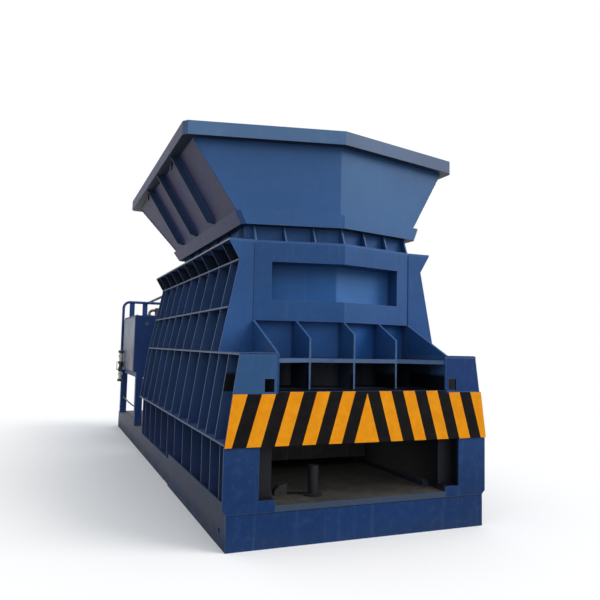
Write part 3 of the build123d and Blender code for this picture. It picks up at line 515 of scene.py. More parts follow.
def paint(name, base, light, gloss=0.5, dust_height=0.5, dust_amount=0.3, wear=0.6, specular=0.25):
    """Weathered paint of one colour."""
    tree = Tree(name)
    colour, dusty, chips, fine = weathered(tree, base, light, dust_height, dust_amount, wear)
    return finish_paint(tree, colour, dusty, chips, fine, gloss, specular)


def rib_paint(name, light):
    """Dark paint of the ribbed sides, with pale dust and a painted highlight on the outer edges of the ribs
    and ledges, and painted shade on the flare.
    """
    tree = Tree(name)
    # Painted shade near the ground
    base = shade_by_height(tree, NAVY_LOW_SHADE, NAVY, NAVY)
    colour, dusty, chips, fine = weathered(tree, base, light, 0.9, 0.1, 0.3)
    # Pale dust and a painted highlight on the outer edges of the ribs
    across = tree.ramp(tree.size(tree.normal_axis(X)), 0.85, 0.95)
    outer = tree.above(tree.size(tree.axis(X)), 0.88)
    rim = tree.within(across, outer, tree.ramp(fine, 0.25, 0.6, 0.55, 1.0))
    # Painted shade: the flare above the waist is darkened, and its rib edges keep less of the highlight
    flare = tree.above(tree.axis(Z), WAIST + 0.012)
    colour = tree.mix(tree.times(flare, 0.8), colour, FLARE_SHADE)
    rim = tree.times(rim, tree.minus(1.0, tree.times(flare, 0.7)))
    colour = inside_shade(tree, tree.mix(rim, colour, light), CHAMBER_HALF + 0.002)
    return finish_paint(tree, colour, dusty, chips, fine, 0.55, 0.15)


def deck_paint(name, light):
    """The blue paint in its lighter top tone, which is painted light, with a pale line along the deck's
    outer edges.
    """
    tree = Tree(name)
    colour, dusty, chips, fine = weathered(tree, BLUE_HIGH_LIT, light, 0.2, 0.05, 0.4)
    edge = tree.ramp(tree.size(tree.normal_axis(X)), 0.8, 0.9)
    edge = tree.times(edge, tree.above(tree.size(tree.axis(X)), 0.95))
    colour = tree.mix(tree.times(edge, tree.ramp(fine, 0.25, 0.6, 0.6, 1.0)), colour, DECK_EDGE)
    return finish_paint(tree, colour, dusty, chips, fine, 0.5, 0.15)


def gusset_paint(name, light):
    """The blue paint on the small plates at the front, with a painted highlight on their thin front edges.
    """
    tree = Tree(name)
    # Painted shade near the ground and painted light towards the top, then painted shade inside the outlet
    base = shade_by_height(tree, BLUE_LOW_SHADE, BLUE, BLUE_HIGH_LIT)
    colour, dusty, chips, fine = weathered(tree, base, light, 0.2, 0.05, 0.4)
    colour = inside_shade(tree, colour)
    # Painted highlight on the faces that look forward, in patches
    patchy = tree.ramp(fine, 0.25, 0.6, 0.5, 1.0)
    edge = tree.times(tree.ramp(tree.normal_axis(Y), -0.7, -0.8), patchy)
    colour = tree.mix(edge, colour, GUSSET_EDGE_HIGHLIGHT)
    return finish_paint(tree, colour, dusty, chips, fine, 0.5, 0.15)


def inner_paint(name):
    """What is left of the paint inside the shear box: dark grime made darker as painted shade, scraped to
    steel in long streaks.
    """
    tree = Tree(name)
    grit = tree.noise(40, 6, 0.7)
    scrape = tree.noise(11, 4, 0.6, (3.0, 0.3, 0.3))
    colour = tree.mix(tree.ramp(grit, 0.4, 0.7), INNER_GRIME_SHADE, INNER_PALE)
    colour = tree.mix(tree.times(tree.ramp(scrape, 0.56, 0.7), 0.5), colour, INNER_SCRAPE)
    colour = tree.mix(tree.times(tree.edge(0.004), 0.4), colour, INNER_EDGE)
    # Painted shade in the cells under the shelf
    colour = tree.mix(tree.times(cell_shade_masks(tree)[0], SHADED), colour, CELL_SHADE)
    tree.surface(colour, tree.ramp(scrape, 0.4, 0.7, 0.7, 0.45), 0.2)
    tree.bump(tree.plus(scrape, tree.times(grit, 0.4)), 0.3, 0.002)
    return tree.material


def hazard_paint(name, light):
    """The blue paint, with orange and black stripes on the beam's front face."""
    tree = Tree(name)
    # Painted shade near the ground and painted light towards the top, then painted shade inside the outlet
    base = shade_by_height(tree, BLUE_LOW_SHADE, BLUE, BLUE_HIGH_LIT)
    colour, *_, fine = weathered(tree, base, light, 0.5, 0.2, 0.45)
    colour = inside_shade(tree, colour)
    film = tree.ramp(tree.noise(3, 5, 0.7), 0.6, 0.85)
    colour = tree.mix(tree.times(film, 0.15), colour, DUST)
    slope = STRIPE_PITCH / (BEAM_HIGH - BEAM_LOW)
    lean = tree.times(tree.minus(tree.axis(Z), BEAM_LOW), slope)
    along = tree.plus(tree.size(tree.axis(X)), lean)
    half_step = tree.times(along, 0.5 / STRIPE_PITCH)
    odd = tree.above(tree.math("FRACT", half_step), 0.5)
    scuffs = tree.ramp(tree.noise(26, 6, 0.7), 0.6, 0.74, 0.0, 0.3)
    orange = tree.mix(tree.ramp(fine, 0.35, 0.7), ORANGE, ORANGE_PALE)
    orange = tree.mix(scuffs, orange, ORANGE_SCUFFED)
    black = tree.mix(tree.ramp(fine, 0.4, 0.75), BLACK, BLACK_PALE)
    black = tree.mix(tree.times(scuffs, 0.3), black, BLACK_SCUFFED)
    stripes = tree.mix(odd, orange, black)
    front = tree.below(tree.normal_axis(Y), FORWARD)
    face = tree.times(front, tree.below(tree.axis(Y), OUTLET - BEAM_FACE))
    colour = tree.mix(face, colour, stripes)
    tree.surface(colour, tree.plus(tree.times(fine, 0.2), 0.42), 0.07)
    tree.bump(tree.noise(140, 3), 0.2, 0.0008)
    return tree.material


def panel_paint(name):
    """The thin cover on the tank's side: paler towards the top, darker and stained below."""
    tree = Tree(name)
    cloud = tree.noise(2.2, 5, 0.65)
    stain = tree.noise(4.5, 4, 0.6, (1, 3.0, 0.35))
    height = tree.plus(tree.axis(Z), tree.times(cloud, 0.35))
    colour = tree.mix(tree.ramp(height, 1.45, 2.1), PANEL_LOW, PANEL_HIGH)
    colour = tree.mix(tree.times(tree.ramp(stain, 0.52, 0.7), 0.55), colour, PANEL_STAIN)
    colour = tree.mix(tree.times(tree.edge(0.004), 0.5), colour, PANEL_EDGE)
    tree.surface(colour, tree.ramp(cloud, 0.3, 0.7, 0.35, 0.55), 0.3)
    tree.bump(tree.noise(3.1, 3), 0.3, 0.006)
    return tree.material


def bare_steel(name, base, bright, rust_amount, rough, scratch_stretch=(1, 1, 1), metallic=0.85):
    """Bare metal with fine scratches, bright edges and some rust."""
    tree = Tree(name)
    cloud = tree.noise(3, 5, 0.6)
    lines = tree.noise(60, 3, 0.6, scratch_stretch)
    colour = tree.mix(tree.ramp(lines, 0.4, 0.7), base, bright)
    rust = tree.times(tree.ramp(cloud, 0.45, 0.7), rust_amount)
    colour = tree.mix(rust, colour, RUST)
    colour = tree.mix(tree.times(tree.edge(0.003), 0.5), colour, bright)
    tree.surface(colour, tree.plus(tree.times(lines, 0.25), rough), metallic=metallic)
    tree.bump(lines, 0.25, 0.0006)
    return tree.material


def floor_steel(name):
    """The scraped floor of the outlet: dull brown dust over dark steel, darker deeper inside as painted
    shade.
    """
    tree = Tree(name)
    grit = tree.noise(55, 6, 0.75)
    heaps = tree.noise(4.5, 5, 0.65)
    scrape = tree.noise(9, 4, 0.6, (3.5, 0.25, 1))
    dust = tree.mix(tree.ramp(heaps, 0.35, 0.7), FLOOR_DUST, FLOOR_HEAP)
    dust = tree.mix(tree.ramp(grit, 0.5, 0.75), dust, FLOOR_GRIT)
    worn = tree.times(tree.ramp(scrape, 0.55, 0.7), 0.5)
    colour = tree.mix(worn, dust, FLOOR_WORN)
    upright = tree.ramp(tree.normal_axis(Z), 0.8, 0.4)
    colour = tree.mix(tree.times(upright, SHADED), colour, FLOOR_SIDE)
    sill = tree.times(upright, tree.below(tree.axis(Y), OUTLET + 0.03))
    sill = tree.times(sill, tree.ramp(grit, 0.3, 0.6, 0.6, 0.95))
    colour = tree.mix(sill, colour, FLOOR_SILL)
    # Painted shade: the floor darkens deeper inside the outlet
    depth = tree.ramp(tree.axis(Y), OUTLET + 0.1, OUTLET + 1.3, 0.0, 0.75)
    colour = tree.mix(depth, colour, FLOOR_DEEP_SHADE)
    tree.surface(colour, tree.ramp(grit, 0.2, 0.8, 0.72, 0.95), 0.2)
    tree.bump(tree.plus(tree.times(heaps, 0.6), tree.times(grit, 0.3)), 0.6, 0.006)
    return tree.material


def chrome(name):
    """Polished chrome with faint bands."""
    tree = Tree(name)
    rings = tree.noise(30, 3, 0.6, (1, 6, 1))
    tree.surface(
        tree.mix(rings, CHROME_DULL, CHROME_BRIGHT),
        tree.ramp(rings, 0.3, 0.8, 0.08, 0.22), metallic=1.0)
    tree.bump(rings, 0.05, 0.0002)
    return tree.material


def banded_fitting(name):
    """Plated fittings between black rubber-coated ones, one above the other."""
    tree = Tree(name)
    height = tree.axis(Z)
    upper, lower = (tree.within(tree.above(height, foot), tree.below(height, head))
                    for foot, head in PLATED_BANDS)
    cap = tree.above(height, PLATED_CAP)
    plated = tree.either(tree.either(upper, lower), cap)
    wear = tree.noise(24, 5, 0.65)
    plate = tree.mix(tree.ramp(wear, 0.4, 0.7), PLATED, PLATED_DULL)
    coat = tree.mix(tree.ramp(wear, 0.4, 0.7), COATED, COATED_WORN)
    tree.surface(tree.mix(plated, coat, plate), tree.ramp(wear, 0.3, 0.7, 0.35, 0.55))
    tree.bump(wear, 0.2, 0.0006)
    return tree.material


def moulded(name, base, rough, dust=0.3):
    """Plastic or rubber with a fine grain and a little dust."""
    tree = Tree(name)
    fine = tree.noise(220, 3, 0.6)
    cloud = tree.noise(9, 5, 0.65)
    pale = tuple(channel * 1.4 + 0.012 for channel in base)
    colour = tree.mix(tree.ramp(cloud, 0.4, 0.7), base, pale)
    settled = tree.ramp(tree.normal_axis(Z), 0.2, 0.95, 0.0, dust)
    colour = tree.mix(settled, colour, DUST)
    tree.surface(colour, tree.plus(tree.times(fine, 0.2), rough - 0.1))
    tree.bump(fine, 0.25, 0.0005)
    return tree.material


MATERIALS = {
    "blue_paint": blue_paint("blue_paint_look", BLUE_LIGHT),
    "dark_paint": rib_paint("dark_paint_look", EDGE_DUST_HIGHLIGHT),
    "inner_paint": inner_paint("inner_look"),
    "hazard_face": hazard_paint("hazard_look", BLUE_LIGHT),
    "floor_steel": floor_steel("floor_look"),
    "knife_steel": bare_steel("knife_look", (0.3, 0.3, 0.3), (0.5, 0.5, 0.5), 0.3, 0.25, (0.3, 1, 3)),
    "bolt_steel": bare_steel("bolt_look", (0.16, 0.155, 0.15), (0.36, 0.36, 0.36), 0.45, 0.35),
    "rod_chrome": chrome("rod_look"),
    "bronze_pad": bare_steel("bronze_look", (0.28, 0.19, 0.08), (0.5, 0.36, 0.16), 0.15, 0.35),
    "grey_paint": paint("grey_look", (0.3, 0.31, 0.33), (0.55, 0.55, 0.55), dust_amount=0.25),
    "pipe_steel": bare_steel("pipe_look", (0.1, 0.1, 0.11), (0.24, 0.24, 0.25), 0.12, 0.35),
    "black_rubber": moulded("rubber_look", (0.012, 0.012, 0.012), 0.6),
    "black_plastic": moulded("black_plastic_look", (0.015, 0.015, 0.016), 0.42),
    "red_plastic": moulded("red_plastic_look", (0.5, 0.012, 0.008), 0.3, 0.1),
    "motor_paint": paint("motor_look", (0.05, 0.11, 0.2), (0.3, 0.33, 0.36), gloss=0.38),
    "gusset_paint": gusset_paint("gusset_look", BLUE_LIGHT),
    # The recess is painted lighter than the machine's blue as painted light, its right half lighter still
    # as painted light
    "recess_paint": two_tone_paint("recess_look", (0.02, 0.102, 0.31), (0.044, 0.15, 0.39), BLUE_LIGHT),
    # The lower front plates are darker on their right half
    "plate_paint": two_tone_paint("plate_look", (0.027, 0.092, 0.232), (0.004, 0.032, 0.138), BLUE_LIGHT),
    # The wall below the recess is painted lighter than the machine's blue, as painted light
    "wall_paint": two_tone_paint("wall_look", (0.0195, 0.099, 0.32), (0.0195, 0.099, 0.32), BLUE_LIGHT),
    "deck_paint": deck_paint("deck_look", BLUE_LIGHT),
    # The hopper's left and right front faces get different blues as painted light and shade
    "hopper_paint": hopper_paint("hopper_look", BLUE_HIGH_LIT, (0.031, 0.108, 0.262), BLUE_LIGHT,
                                 SIDE_BROWN_SHADE, SIDE_BLUE_SHADE),
    # The hopper ribs' faces in a darker blue as painted shade, their sideways outer edges in pale grey as
    # painted highlight
    "hopper_rib_paint": hopper_paint("hopper_rib_look", RIB_BLUE_SHADE, RIB_BLUE_SHADE, BLUE_LIGHT,
                                     (0.11, 0.105, 0.155), (0.085, 0.095, 0.155)),
    # The rim's left and right front faces differ in tone as painted light and shade, and its parts below
    # the rim are painted shade
    "rim_paint": hopper_paint("rim_look", BLUE_RIM, (0.078, 0.125, 0.225), (0.22, 0.3, 0.42),
                              SIDE_BROWN_SHADE, SIDE_BLUE_SHADE, RIM_LOW - 0.004),
    "unit_paint": paint("unit_look", (0.014, 0.05, 0.19), (0.12, 0.16, 0.26), dust_amount=0.2, wear=0.4),
    "tank_panel": panel_paint("tank_panel_look"),
    "fitting": banded_fitting("fitting_look"),
}

# Nodes that don't wear the plain material of their slot
DRESSED = {
    "hopper_front_panel": "hopper_paint",
    "hopper_side_panels": "hopper_paint",
    "hopper_rear_panel": "hopper_paint",
    "hopper_collar": "hopper_paint",
    "hopper_ribs": "hopper_rib_paint",
    "hopper_rim": "rim_paint",
    "v_recess_panel": "recess_paint",
    "v_lower_wall": "wall_paint",
    "top_deck": "deck_paint",
    "lower_front_plates": "plate_paint",
    "front_gussets": "gusset_paint",
    "neck_gussets": "gusset_paint",
    "front_shelf": "gusset_paint",
    "knife_carriage": "inner_paint",
    "front_inner_wall": "inner_paint",
    "rear_apron": "inner_paint",
    "fixed_knife_beam": "inner_paint",
    "oil_tank": "unit_paint",
    "tank_lid": "unit_paint",
    "power_stand": "unit_paint",
    "tank_railing": "unit_paint",
    "tank_side_panel": "tank_panel",
    "drain_valve": "fitting",
}


def dress_nodes():
    """Every CAD node gets the material of its slot in the record."""
    slots = {part["node"]: part["material_slot"] for part in frame["record"]["subparts"]}
    for name, node in nodes.items():
        node.data.materials.clear()
        node.data.materials.append(MATERIALS[DRESSED.get(name, slots[name])])
    for polygon in nodes["hopper_side_panels"].data.polygons:
        polygon.use_smooth = False


# Weld seams

WELD_STEP = 0.02
BEAD_SIDES = 6
BEAD_END = 0.45
RIPPLE = 0.14
RIPPLE_TURN = 2.4
RIPPLE_CHANCE = 0.09

# Radii of the beads
FINE_BEAD = 0.005
BEAD = 0.006
WIDE_BEAD = 0.007
CORNER_BEAD = 0.008

# Both sides of a cross plate and both faces of a flat one, as a weld's centre takes them
PLATE_SIDES = (-0.001, 0.015)
PLATE_FACES = (-0.001, 0.017)

# Half widths of the ribbed side's outline, with their heights
SIDE_OUTLINE = ((1.232, BEAM_LOW), (1.125, SHOULDER), (0.955, WAIST), (1.055, DECK))

# Shelf gussets and the V panel above them
GUSSET_PLACES = (-0.427, 0, 0.427)
GUSSET_SIDES = (-0.009, 0.009)
GUSSET_HEIGHTS = (1.217, 1.4825)
GUSSET_FRONT = 0.24
GUSSET_REAR = 0.54
KNEE_LOW = 1.49
KNEE_HIGH = 1.8
V_FACE = 0.548
STRIP_INNER = 0.812
STRIP_FOOT = 1.815

# The shoulder, the legs' tops and the beam's ledge: each bead's inner and outer end
SHOULDER_ENDS = (CHAMBER_HALF, 1.12)
SHOULDER_RUN = (0.03, 0.64)
SHOULDER_SIDE = 0.822
LEG_ENDS = (0.944, 1.23)
LEDGE_ENDS = (0.76, 1.17)
LEDGE_DEPTHS = (-0.007, -0.002)

# The recess in the V panel
RECESS_HALF = 0.66
RECESS_LOW = 1.996
RECESS_HIGH = 2.348
RECESS_DEPTH = 0.177

# The hopper's half width and the place of its rear panel grow from the collar to the rim
HOPPER_HEIGHT = 0.92
HOPPER_HALF = 0.862
HOPPER_HALF_GROWTH = 0.575
HOPPER_REAR = 3.53
HOPPER_REAR_GROWTH = 0.87
HOPPER_APEX = 0.56
HOPPER_CORNER = 0.006
HOPPER_RIBS = (1.58, 2.38, 3.12)
HOPPER_RIB_LOW = 2.84
HOPPER_RIB_HIGH = 3.48

# The ribbed sides: ribs along the machine and stringers above one another
SIDE_WALL = 0.831
FIRST_RIB = 0.92
RIB_PITCH = 0.425
RIB_COUNT = 9
RIB_BAYS = ((0.285, 0.798), (0.818, 1.502), (1.522, 1.91), (1.93, 2.345), (2.365, 2.523))
STRINGERS = (0.8, 1.504, 1.912, 2.347)
LOW_STRINGER_START = 0.02
HIGH_STRINGER_START = 0.68
STRINGER_END = 0.01
CROSSING_START = 0.01
CROSSING_END = 0.012

# The neck between the deck and the hopper's collar
NECK_LOW = DECK + 0.017
NECK_HIGH = 2.688
NECK_HALF = 0.86
NECK_FACE = 0.571
NECK_REAR = 3.54
NECK_CORNER = 0.83
NECK_GUSSETS = (0.0, 0.265, 0.53, 0.8)
NECK_GUSSET_SIDE = 0.008
NECK_GUSSET_FRONT = 0.47


def weld_bead(bm, start, end, radius):
    """A rippled round bead from start to end, half sunk into the corner between two plates."""
    start = Vector(start)
    end = Vector(end)
    run = end - start
    count = max(2, int(run.length / WELD_STEP))
    along = run.normalized()
    side = along.orthogonal().normalized()
    up = along.cross(side)
    rings = []
    for i in range(count + 1):
        chance = rng.uniform(-RIPPLE_CHANCE, RIPPLE_CHANCE)
        ripple = radius * (1 + RIPPLE * math.sin(i * RIPPLE_TURN) + chance)
        if i in (0, count):
            ripple *= BEAD_END
        centre = start + run * (i / count)
        ring = []
        for k in range(BEAD_SIDES):
            angle = math.tau * k / BEAD_SIDES
            offset = side * math.cos(angle) + up * math.sin(angle)
            ring.append(bm.verts.new(centre + offset * ripple))
        rings.append(ring)
    for before, after in zip(rings, rings[1:]):
        for k in range(BEAD_SIDES):
            after_k = (k + 1) % BEAD_SIDES
            bm.faces.new((before[k], before[after_k], after[after_k], after[k]))
    bm.faces.new(reversed(rings[0]))
    bm.faces.new(rings[-1])


def finish_piece(bm, name, material, body="frame", smooth=True):
    """Makes the mesh a piece of the scene that rides on the body."""
    mesh = bpy.data.meshes.new(name)
    bmesh.ops.recalc_face_normals(bm, faces=bm.faces)
    bm.to_mesh(mesh)
    bm.free()
    for polygon in mesh.polygons:
        polygon.use_smooth = smooth
    piece = bpy.data.objects.new(name, mesh)
    bpy.context.scene.collection.objects.link(piece)
    mesh.materials.append(MATERIALS[material])
    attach(piece, body)
    return piece


def place(x, depth, z):
    """A point given by its distance behind the machine's front face."""
    return Vector((x, OUTLET + depth, z))


def prow(x, apex, z):
    """A point on a V whose apex stands the given distance behind the front face."""
    return place(x, apex + PROW_SLOPE * abs(x), z)


def side_x(z):
    """The ribbed side's half width at this height."""
    for (x0, z0), (x1, z1) in zip(SIDE_OUTLINE, SIDE_OUTLINE[1:]):
        if z <= z1:
            break
    return x0 + (x1 - x0) * (z - z0) / (z1 - z0)


def front_welds():
    """Beads round the front plates, the beam's ledge and the shelf gussets."""
    bm = bmesh.new()
    strip = UPPER_FRONT - HAIR
    above = SHOULDER + SEAM
    ledge = BEAM_HIGH + SEAM
    for s in (-1, 1):
        inner = s * STRIP_INNER
        edge = s * CHAMBER_HALF
        weld_bead(bm, place(inner, strip, STRIP_FOOT), place(inner, strip, DECK), BEAD)
        weld_bead(bm, place(edge, HAIR, LEDGE_TOP), place(edge, HAIR, SHOULDER), BEAD)
        weld_bead(bm, *(place(s * x, 0.0, above) for x in SHOULDER_ENDS), FINE_BEAD)
        weld_bead(bm, *(place(s * SHOULDER_SIDE, depth, above) for depth in SHOULDER_RUN), WIDE_BEAD)
        weld_bead(bm, *(place(s * x, 0.0, BEAM_LOW) for x in LEG_ENDS), BEAD)
        weld_bead(bm, *(place(s * x, depth, ledge) for x, depth in zip(LEDGE_ENDS, LEDGE_DEPTHS)), BEAD)
    for x in GUSSET_PLACES:
        for side in GUSSET_SIDES:
            for z in GUSSET_HEIGHTS:
                weld_bead(bm, place(x + side, GUSSET_FRONT, z), prow(x, GUSSET_REAR, z), BEAD)
            weld_bead(bm, prow(x + side, V_FACE, KNEE_LOW), prow(x + side, V_FACE, KNEE_HIGH), BEAD)
    finish_piece(bm, "front_weld_beads", "blue_paint")


def recess_welds():
    """Beads round both halves of the recess in the V panel."""
    bm = bmesh.new()
    deep = V_APEX + RECESS_DEPTH
    for s in (-1, 1):
        side = s * RECESS_HALF
        for z in (RECESS_LOW, RECESS_HIGH):
            weld_bead(bm, prow(0, deep, z), prow(side, deep, z), BEAD)
        weld_bead(bm, prow(side, deep, RECESS_LOW), prow(side, deep, RECESS_HIGH), BEAD)
    finish_piece(bm, "recess_weld_beads", "blue_paint")


def hopper_half(z):
    return HOPPER_HALF + (z - COLLAR_LOW) / HOPPER_HEIGHT * HOPPER_HALF_GROWTH


def hopper_rear(z):
    return HOPPER_REAR + (z - COLLAR_LOW) / HOPPER_HEIGHT * HOPPER_REAR_GROWTH


def hopper_welds():
    """Beads along the hopper's corners, its collar and rim, and both sides of its ribs."""
    bm = bmesh.new()
    low, high = COLLAR_HIGH + SEAM, RIM_LOW - SEAM
    apex = HOPPER_APEX
    corner = apex + HOPPER_CORNER
    for s in (-1, 1):
        for z in (low, high):
            weld_bead(bm, prow(0, apex, z), prow(s * hopper_half(z), apex, z), BEAD)
        front_low, front_high = (prow(s * hopper_half(z), corner, z) for z in (low, high))
        rear_low, rear_high = (place(s * hopper_half(z), hopper_rear(z), z) for z in (low, high))
        weld_bead(bm, front_low, front_high, CORNER_BEAD)
        weld_bead(bm, rear_low, rear_high, CORNER_BEAD)
        weld_bead(bm, front_low, rear_low, WIDE_BEAD)
        for y in HOPPER_RIBS:
            for edge in PLATE_SIDES:
                foot = place(s * hopper_half(HOPPER_RIB_LOW), y + edge, HOPPER_RIB_LOW)
                head = place(s * hopper_half(HOPPER_RIB_HIGH), y + edge, HOPPER_RIB_HIGH)
                weld_bead(bm, foot, head, BEAD)
    rear = hopper_rear(low)
    weld_bead(bm, place(-hopper_half(low), rear, low), place(hopper_half(low), rear, low), WIDE_BEAD)
    finish_piece(bm, "hopper_weld_beads", "blue_paint")


def rib_welds(s, name):
    """Beads of one ribbed side: along its ribs, along its stringers and where the two meet."""
    bm = bmesh.new()
    wall = s * SIDE_WALL
    ribs = [FIRST_RIB + RIB_PITCH * i for i in range(RIB_COUNT)]
    for y in ribs:
        for edge in PLATE_SIDES:
            for low, high in RIB_BAYS:
                weld_bead(bm, place(wall, y + edge, low), place(wall, y + edge, high), BEAD)
    for level in STRINGERS:
        start = LOW_STRINGER_START if level < SHOULDER else HIGH_STRINGER_START
        for face in PLATE_FACES:
            z = level + face
            weld_bead(bm, place(wall, start, z), place(wall, BODY_LENGTH - STRINGER_END, z), BEAD)
    for y in ribs:
        front = y - HAIR
        for level in STRINGERS:
            inner = s * (SIDE_WALL + CROSSING_START)
            outer = s * (side_x(level) - CROSSING_END)
            for face in PLATE_FACES:
                z = level + face
                weld_bead(bm, place(inner, front, z), place(outer, front, z), FINE_BEAD)
    finish_piece(bm, name, "dark_paint")


def neck_welds():
    """Beads round the neck's foot and along its small gussets."""
    bm = bmesh.new()
    low = NECK_LOW
    for s in (-1, 1):
        side = s * (NECK_HALF + HAIR)
        weld_bead(bm, prow(0, NECK_FACE, low), prow(s * NECK_HALF, NECK_FACE, low), BEAD)
        weld_bead(bm, place(side, NECK_CORNER, low), place(side, NECK_REAR, low), BEAD)
        for spot in NECK_GUSSETS:
            x = s * spot + NECK_GUSSET_SIDE
            weld_bead(bm, prow(x, NECK_GUSSET_FRONT, low), prow(x, NECK_FACE - HAIR, low), FINE_BEAD)
            weld_bead(bm, prow(x, NECK_FACE, low), prow(x, NECK_FACE, NECK_HIGH), FINE_BEAD)
    finish_piece(bm, "neck_weld_beads", "blue_paint")


# Small fittings

BOLT_INSET = 0.03
BOLT_STEP = 0.25
WASHER_RADIUS = 0.016
WASHER_HEIGHT = 0.003
HEAD_RADIUS = 0.011
HEAD_HEIGHT = 0.009
HEAD_TAPER = 0.94
PLUG_INSET = 0.18
PLUG_DROP = 0.12
PLUG_COLLAR = 0.004
PLUG_COLLAR_RADIUS = 0.028
PLUG_RADIUS = 0.017
PLUG_HEIGHT = 0.016
LOUVRE_COUNT = 6
LOUVRE_PITCH = 0.035
LOUVRE_HALF = 0.16
LOUVRE_DEPTH = 0.01
LOUVRE_HEIGHT = 0.014
TOP_LOUVRE = 0.2
LOW_LOUVRE = 0.12


def turned_to(axis, centre):
    """The place and turn of something that was made upright."""
    return Matrix.Translation(centre) @ Vector((0, 0, 1)).rotation_difference(axis).to_matrix().to_4x4()


def prism(bm, centre, axis, radius, height, sides=6):
    """A bolt head or plug whose foot stands on the centre."""
    axis = Vector(axis)
    matrix = turned_to(axis, Vector(centre) + axis * (height / 2))
    bmesh.ops.create_cone(bm, cap_ends=True, segments=sides, radius1=radius, radius2=radius * HEAD_TAPER,
                          depth=height, matrix=matrix)


def slab(bm, low, high):
    """A box between two corners."""
    low, high = Vector(low), Vector(high)
    matrix = Matrix.Translation((low + high) / 2) @ Matrix.Diagonal((*(high - low), 1))
    bmesh.ops.create_cube(bm, size=1, matrix=matrix)


def spaced(low, high, step):
    """Evenly spaced places from low to high, about a step apart."""
    count = max(1, round((high - low) / step))
    return [low + (high - low) * i / count for i in range(count + 1)]


def tank_fittings():
    """Bolts with washers round the tank's lid, and a plug on the tank's front."""
    low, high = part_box("oil_tank")
    top = high.z + LID
    bm = bmesh.new()
    across = (low.x + BOLT_INSET, high.x - BOLT_INSET)
    along = (low.y + BOLT_INSET, high.y - BOLT_INSET)
    spots = [(x, y) for x in spaced(*across, BOLT_STEP) for y in along]
    spots += [(x, y) for y in spaced(*along, BOLT_STEP)[1:-1] for x in across]
    for x, y in spots:
        prism(bm, (x, y, top), (0, 0, 1), WASHER_RADIUS, WASHER_HEIGHT, 16)
        prism(bm, (x, y, top + WASHER_HEIGHT), (0, 0, 1), HEAD_RADIUS, HEAD_HEIGHT)
    x, z = low.x + PLUG_INSET, high.z - PLUG_DROP
    prism(bm, (x, low.y, z), (0, -1, 0), PLUG_COLLAR_RADIUS, PLUG_COLLAR, 20)
    prism(bm, (x, low.y - PLUG_COLLAR, z), (0, -1, 0), PLUG_RADIUS, PLUG_HEIGHT)
    finish_piece(bm, "tank_bolts", "pipe_steel", smooth=False)


def cabinet_fittings():
    """Two rows of louvres on the cabinet's rear side, one high and one low."""
    low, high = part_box("cabinet_body")
    bm = bmesh.new()
    middle = (low.x + high.x) / 2
    rows = ((high.z - TOP_LOUVRE, -LOUVRE_PITCH), (low.z + LOW_LOUVRE, LOUVRE_PITCH))
    for first, pitch in rows:
        for i in range(LOUVRE_COUNT):
            z = first + i * pitch
            slab(bm, (middle - LOUVRE_HALF, high.y, z),
                 (middle + LOUVRE_HALF, high.y + LOUVRE_DEPTH, z + LOUVRE_HEIGHT))
    finish_piece(bm, "cabinet_louvres", "grey_paint", smooth=False)


# Floor, light and camera

def shows_background(tree):
    """1 for the rays that look at the background: straight, mirrored or through glass."""
    path = tree.nodes.new("ShaderNodeLightPath")
    seen = path.outputs["Is Camera Ray"]
    for kind in ("Is Glossy Ray", "Is Transmission Ray"):
        either = tree.nodes.new("ShaderNodeMath")
        either.operation = "MAXIMUM"
        tree.links.new(seen, either.inputs[0])
        tree.links.new(path.outputs[kind], either.inputs[1])
        seen = either.outputs[0]
    return seen


def stage():
    """A pale floor that keeps the shadow near the machine and fades into the white background."""
    mesh = bpy.data.meshes.new("ground")
    half = GROUND_HALF
    corners = [(-half, -half, 0), (half, -half, 0), (half, half, 0), (-half, half, 0)]
    mesh.from_pydata(corners, [], [(0, 1, 2, 3)])
    ground = bpy.data.objects.new("ground", mesh)
    bpy.context.scene.collection.objects.link(ground)
    tree = Tree("ground_look")
    seen = shows_background(tree)
    colour = tree.mix(seen, GROUND_TONE, GROUND_SEEN)
    tree.surface(colour, 0.9, 0.0)
    across = tree.size(tree.axis(X))
    along = tree.size(tree.axis(Y))
    away = tree.either(tree.minus(across, SHADOW_ACROSS), tree.minus(along, SHADOW_ALONG))
    fade = tree.times(tree.ramp(away, FADE_START, FADE_END), seen)
    plain = tree.add("ShaderNodeEmission")
    plain.inputs["Strength"].default_value = 1.0
    blend = tree.add("ShaderNodeMixShader")
    tree.links.new(fade, blend.inputs[0])
    tree.links.new(tree.shader.outputs[0], blend.inputs[1])
    tree.links.new(plain.outputs[0], blend.inputs[2])
    tree.links.new(blend.outputs[0], tree.output.inputs[0])
    mesh.materials.append(tree.material)


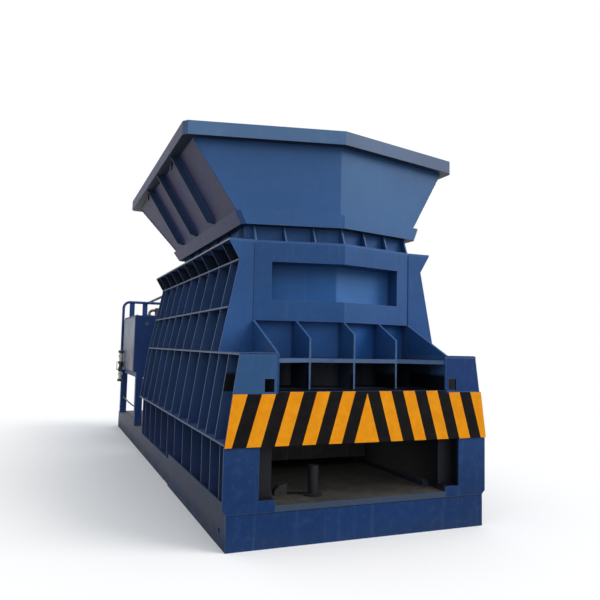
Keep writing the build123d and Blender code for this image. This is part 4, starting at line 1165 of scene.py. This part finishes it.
def world():
    """A soft sky, brighter overhead, behind a plain white background."""
    surroundings = bpy.data.worlds.new("surroundings")
    bpy.context.scene.world = surroundings
    surroundings.use_nodes = True
    tree = surroundings.node_tree
    tree.nodes.clear()
    output = tree.nodes.new("ShaderNodeOutputWorld")
    soft = tree.nodes.new("ShaderNodeBackground")
    soft.inputs["Color"].default_value = SKY_TINT
    direction = tree.nodes.new("ShaderNodeTexCoord")
    split = tree.nodes.new("ShaderNodeSeparateXYZ")
    tree.links.new(direction.outputs["Generated"], split.inputs[0])
    height = tree.nodes.new("ShaderNodeMapRange")
    height.inputs["To Min"].default_value = SKY_LOW
    height.inputs["To Max"].default_value = SKY_HIGH
    tree.links.new(split.outputs["Z"], height.inputs["Value"])
    tree.links.new(height.outputs["Result"], soft.inputs["Strength"])
    white = tree.nodes.new("ShaderNodeBackground")
    white.inputs["Color"].default_value = (1, 1, 1, 1)
    choose = tree.nodes.new("ShaderNodeMixShader")
    tree.links.new(shows_background(tree), choose.inputs[0])
    tree.links.new(soft.outputs[0], choose.inputs[1])
    tree.links.new(white.outputs[0], choose.inputs[2])
    tree.links.new(choose.outputs[0], output.inputs[0])


def sun(name, power, come_from, spread, colour):
    lamp = bpy.data.lights.new(name, "SUN")
    lamp.energy = power
    lamp.angle = math.radians(spread)
    lamp.color = colour
    holder = bpy.data.objects.new(name, lamp)
    holder.rotation_euler = (-Vector(come_from)).to_track_quat("-Z", "Y").to_euler()
    bpy.context.scene.collection.objects.link(holder)


def lights():
    """A large soft lamp from the front right and above, and a weaker one from the front."""
    sun("key", KEY_POWER, KEY_FROM, KEY_SPREAD, KEY_TINT)
    sun("fill", FILL_POWER, FILL_FROM, FILL_SPREAD, FILL_TINT)


def camera():
    """The photograph's view, found from the machine's corners."""
    yaw, pitch, roll = (math.radians(angle) for angle in CAMERA_ANGLES)
    level = math.cos(pitch)
    forward = Vector((-math.sin(yaw) * level, math.cos(yaw) * level, math.sin(pitch)))
    right = Vector((math.cos(yaw), math.sin(yaw), 0))
    up = right.cross(forward)
    cosine, sine = math.cos(roll), math.sin(roll)
    right, up = right * cosine + up * sine, up * cosine - right * sine
    lens = bpy.data.cameras.new("photo_camera")
    lens.sensor_width = SENSOR
    lens.lens = SENSOR * FOCAL_PIXELS / FRAME_PIXELS
    lens.clip_end = VIEW_END
    holder = bpy.data.objects.new("photo_camera", lens)
    turn = Matrix((right, up, -forward)).transposed().to_4x4()
    holder.matrix_world = Matrix.Translation(place(*CAMERA_PLACE)) @ turn
    bpy.context.scene.collection.objects.link(holder)
    bpy.context.scene.camera = holder


dress_nodes()
front_welds()
recess_welds()
hopper_welds()
neck_welds()
rib_welds(-1, "left_rib_weld_beads")
rib_welds(1, "right_rib_weld_beads")
tank_fittings()
cabinet_fittings()
stage()
world()
lights()
camera()
bpy.context.scene.view_settings.view_transform = "Standard"
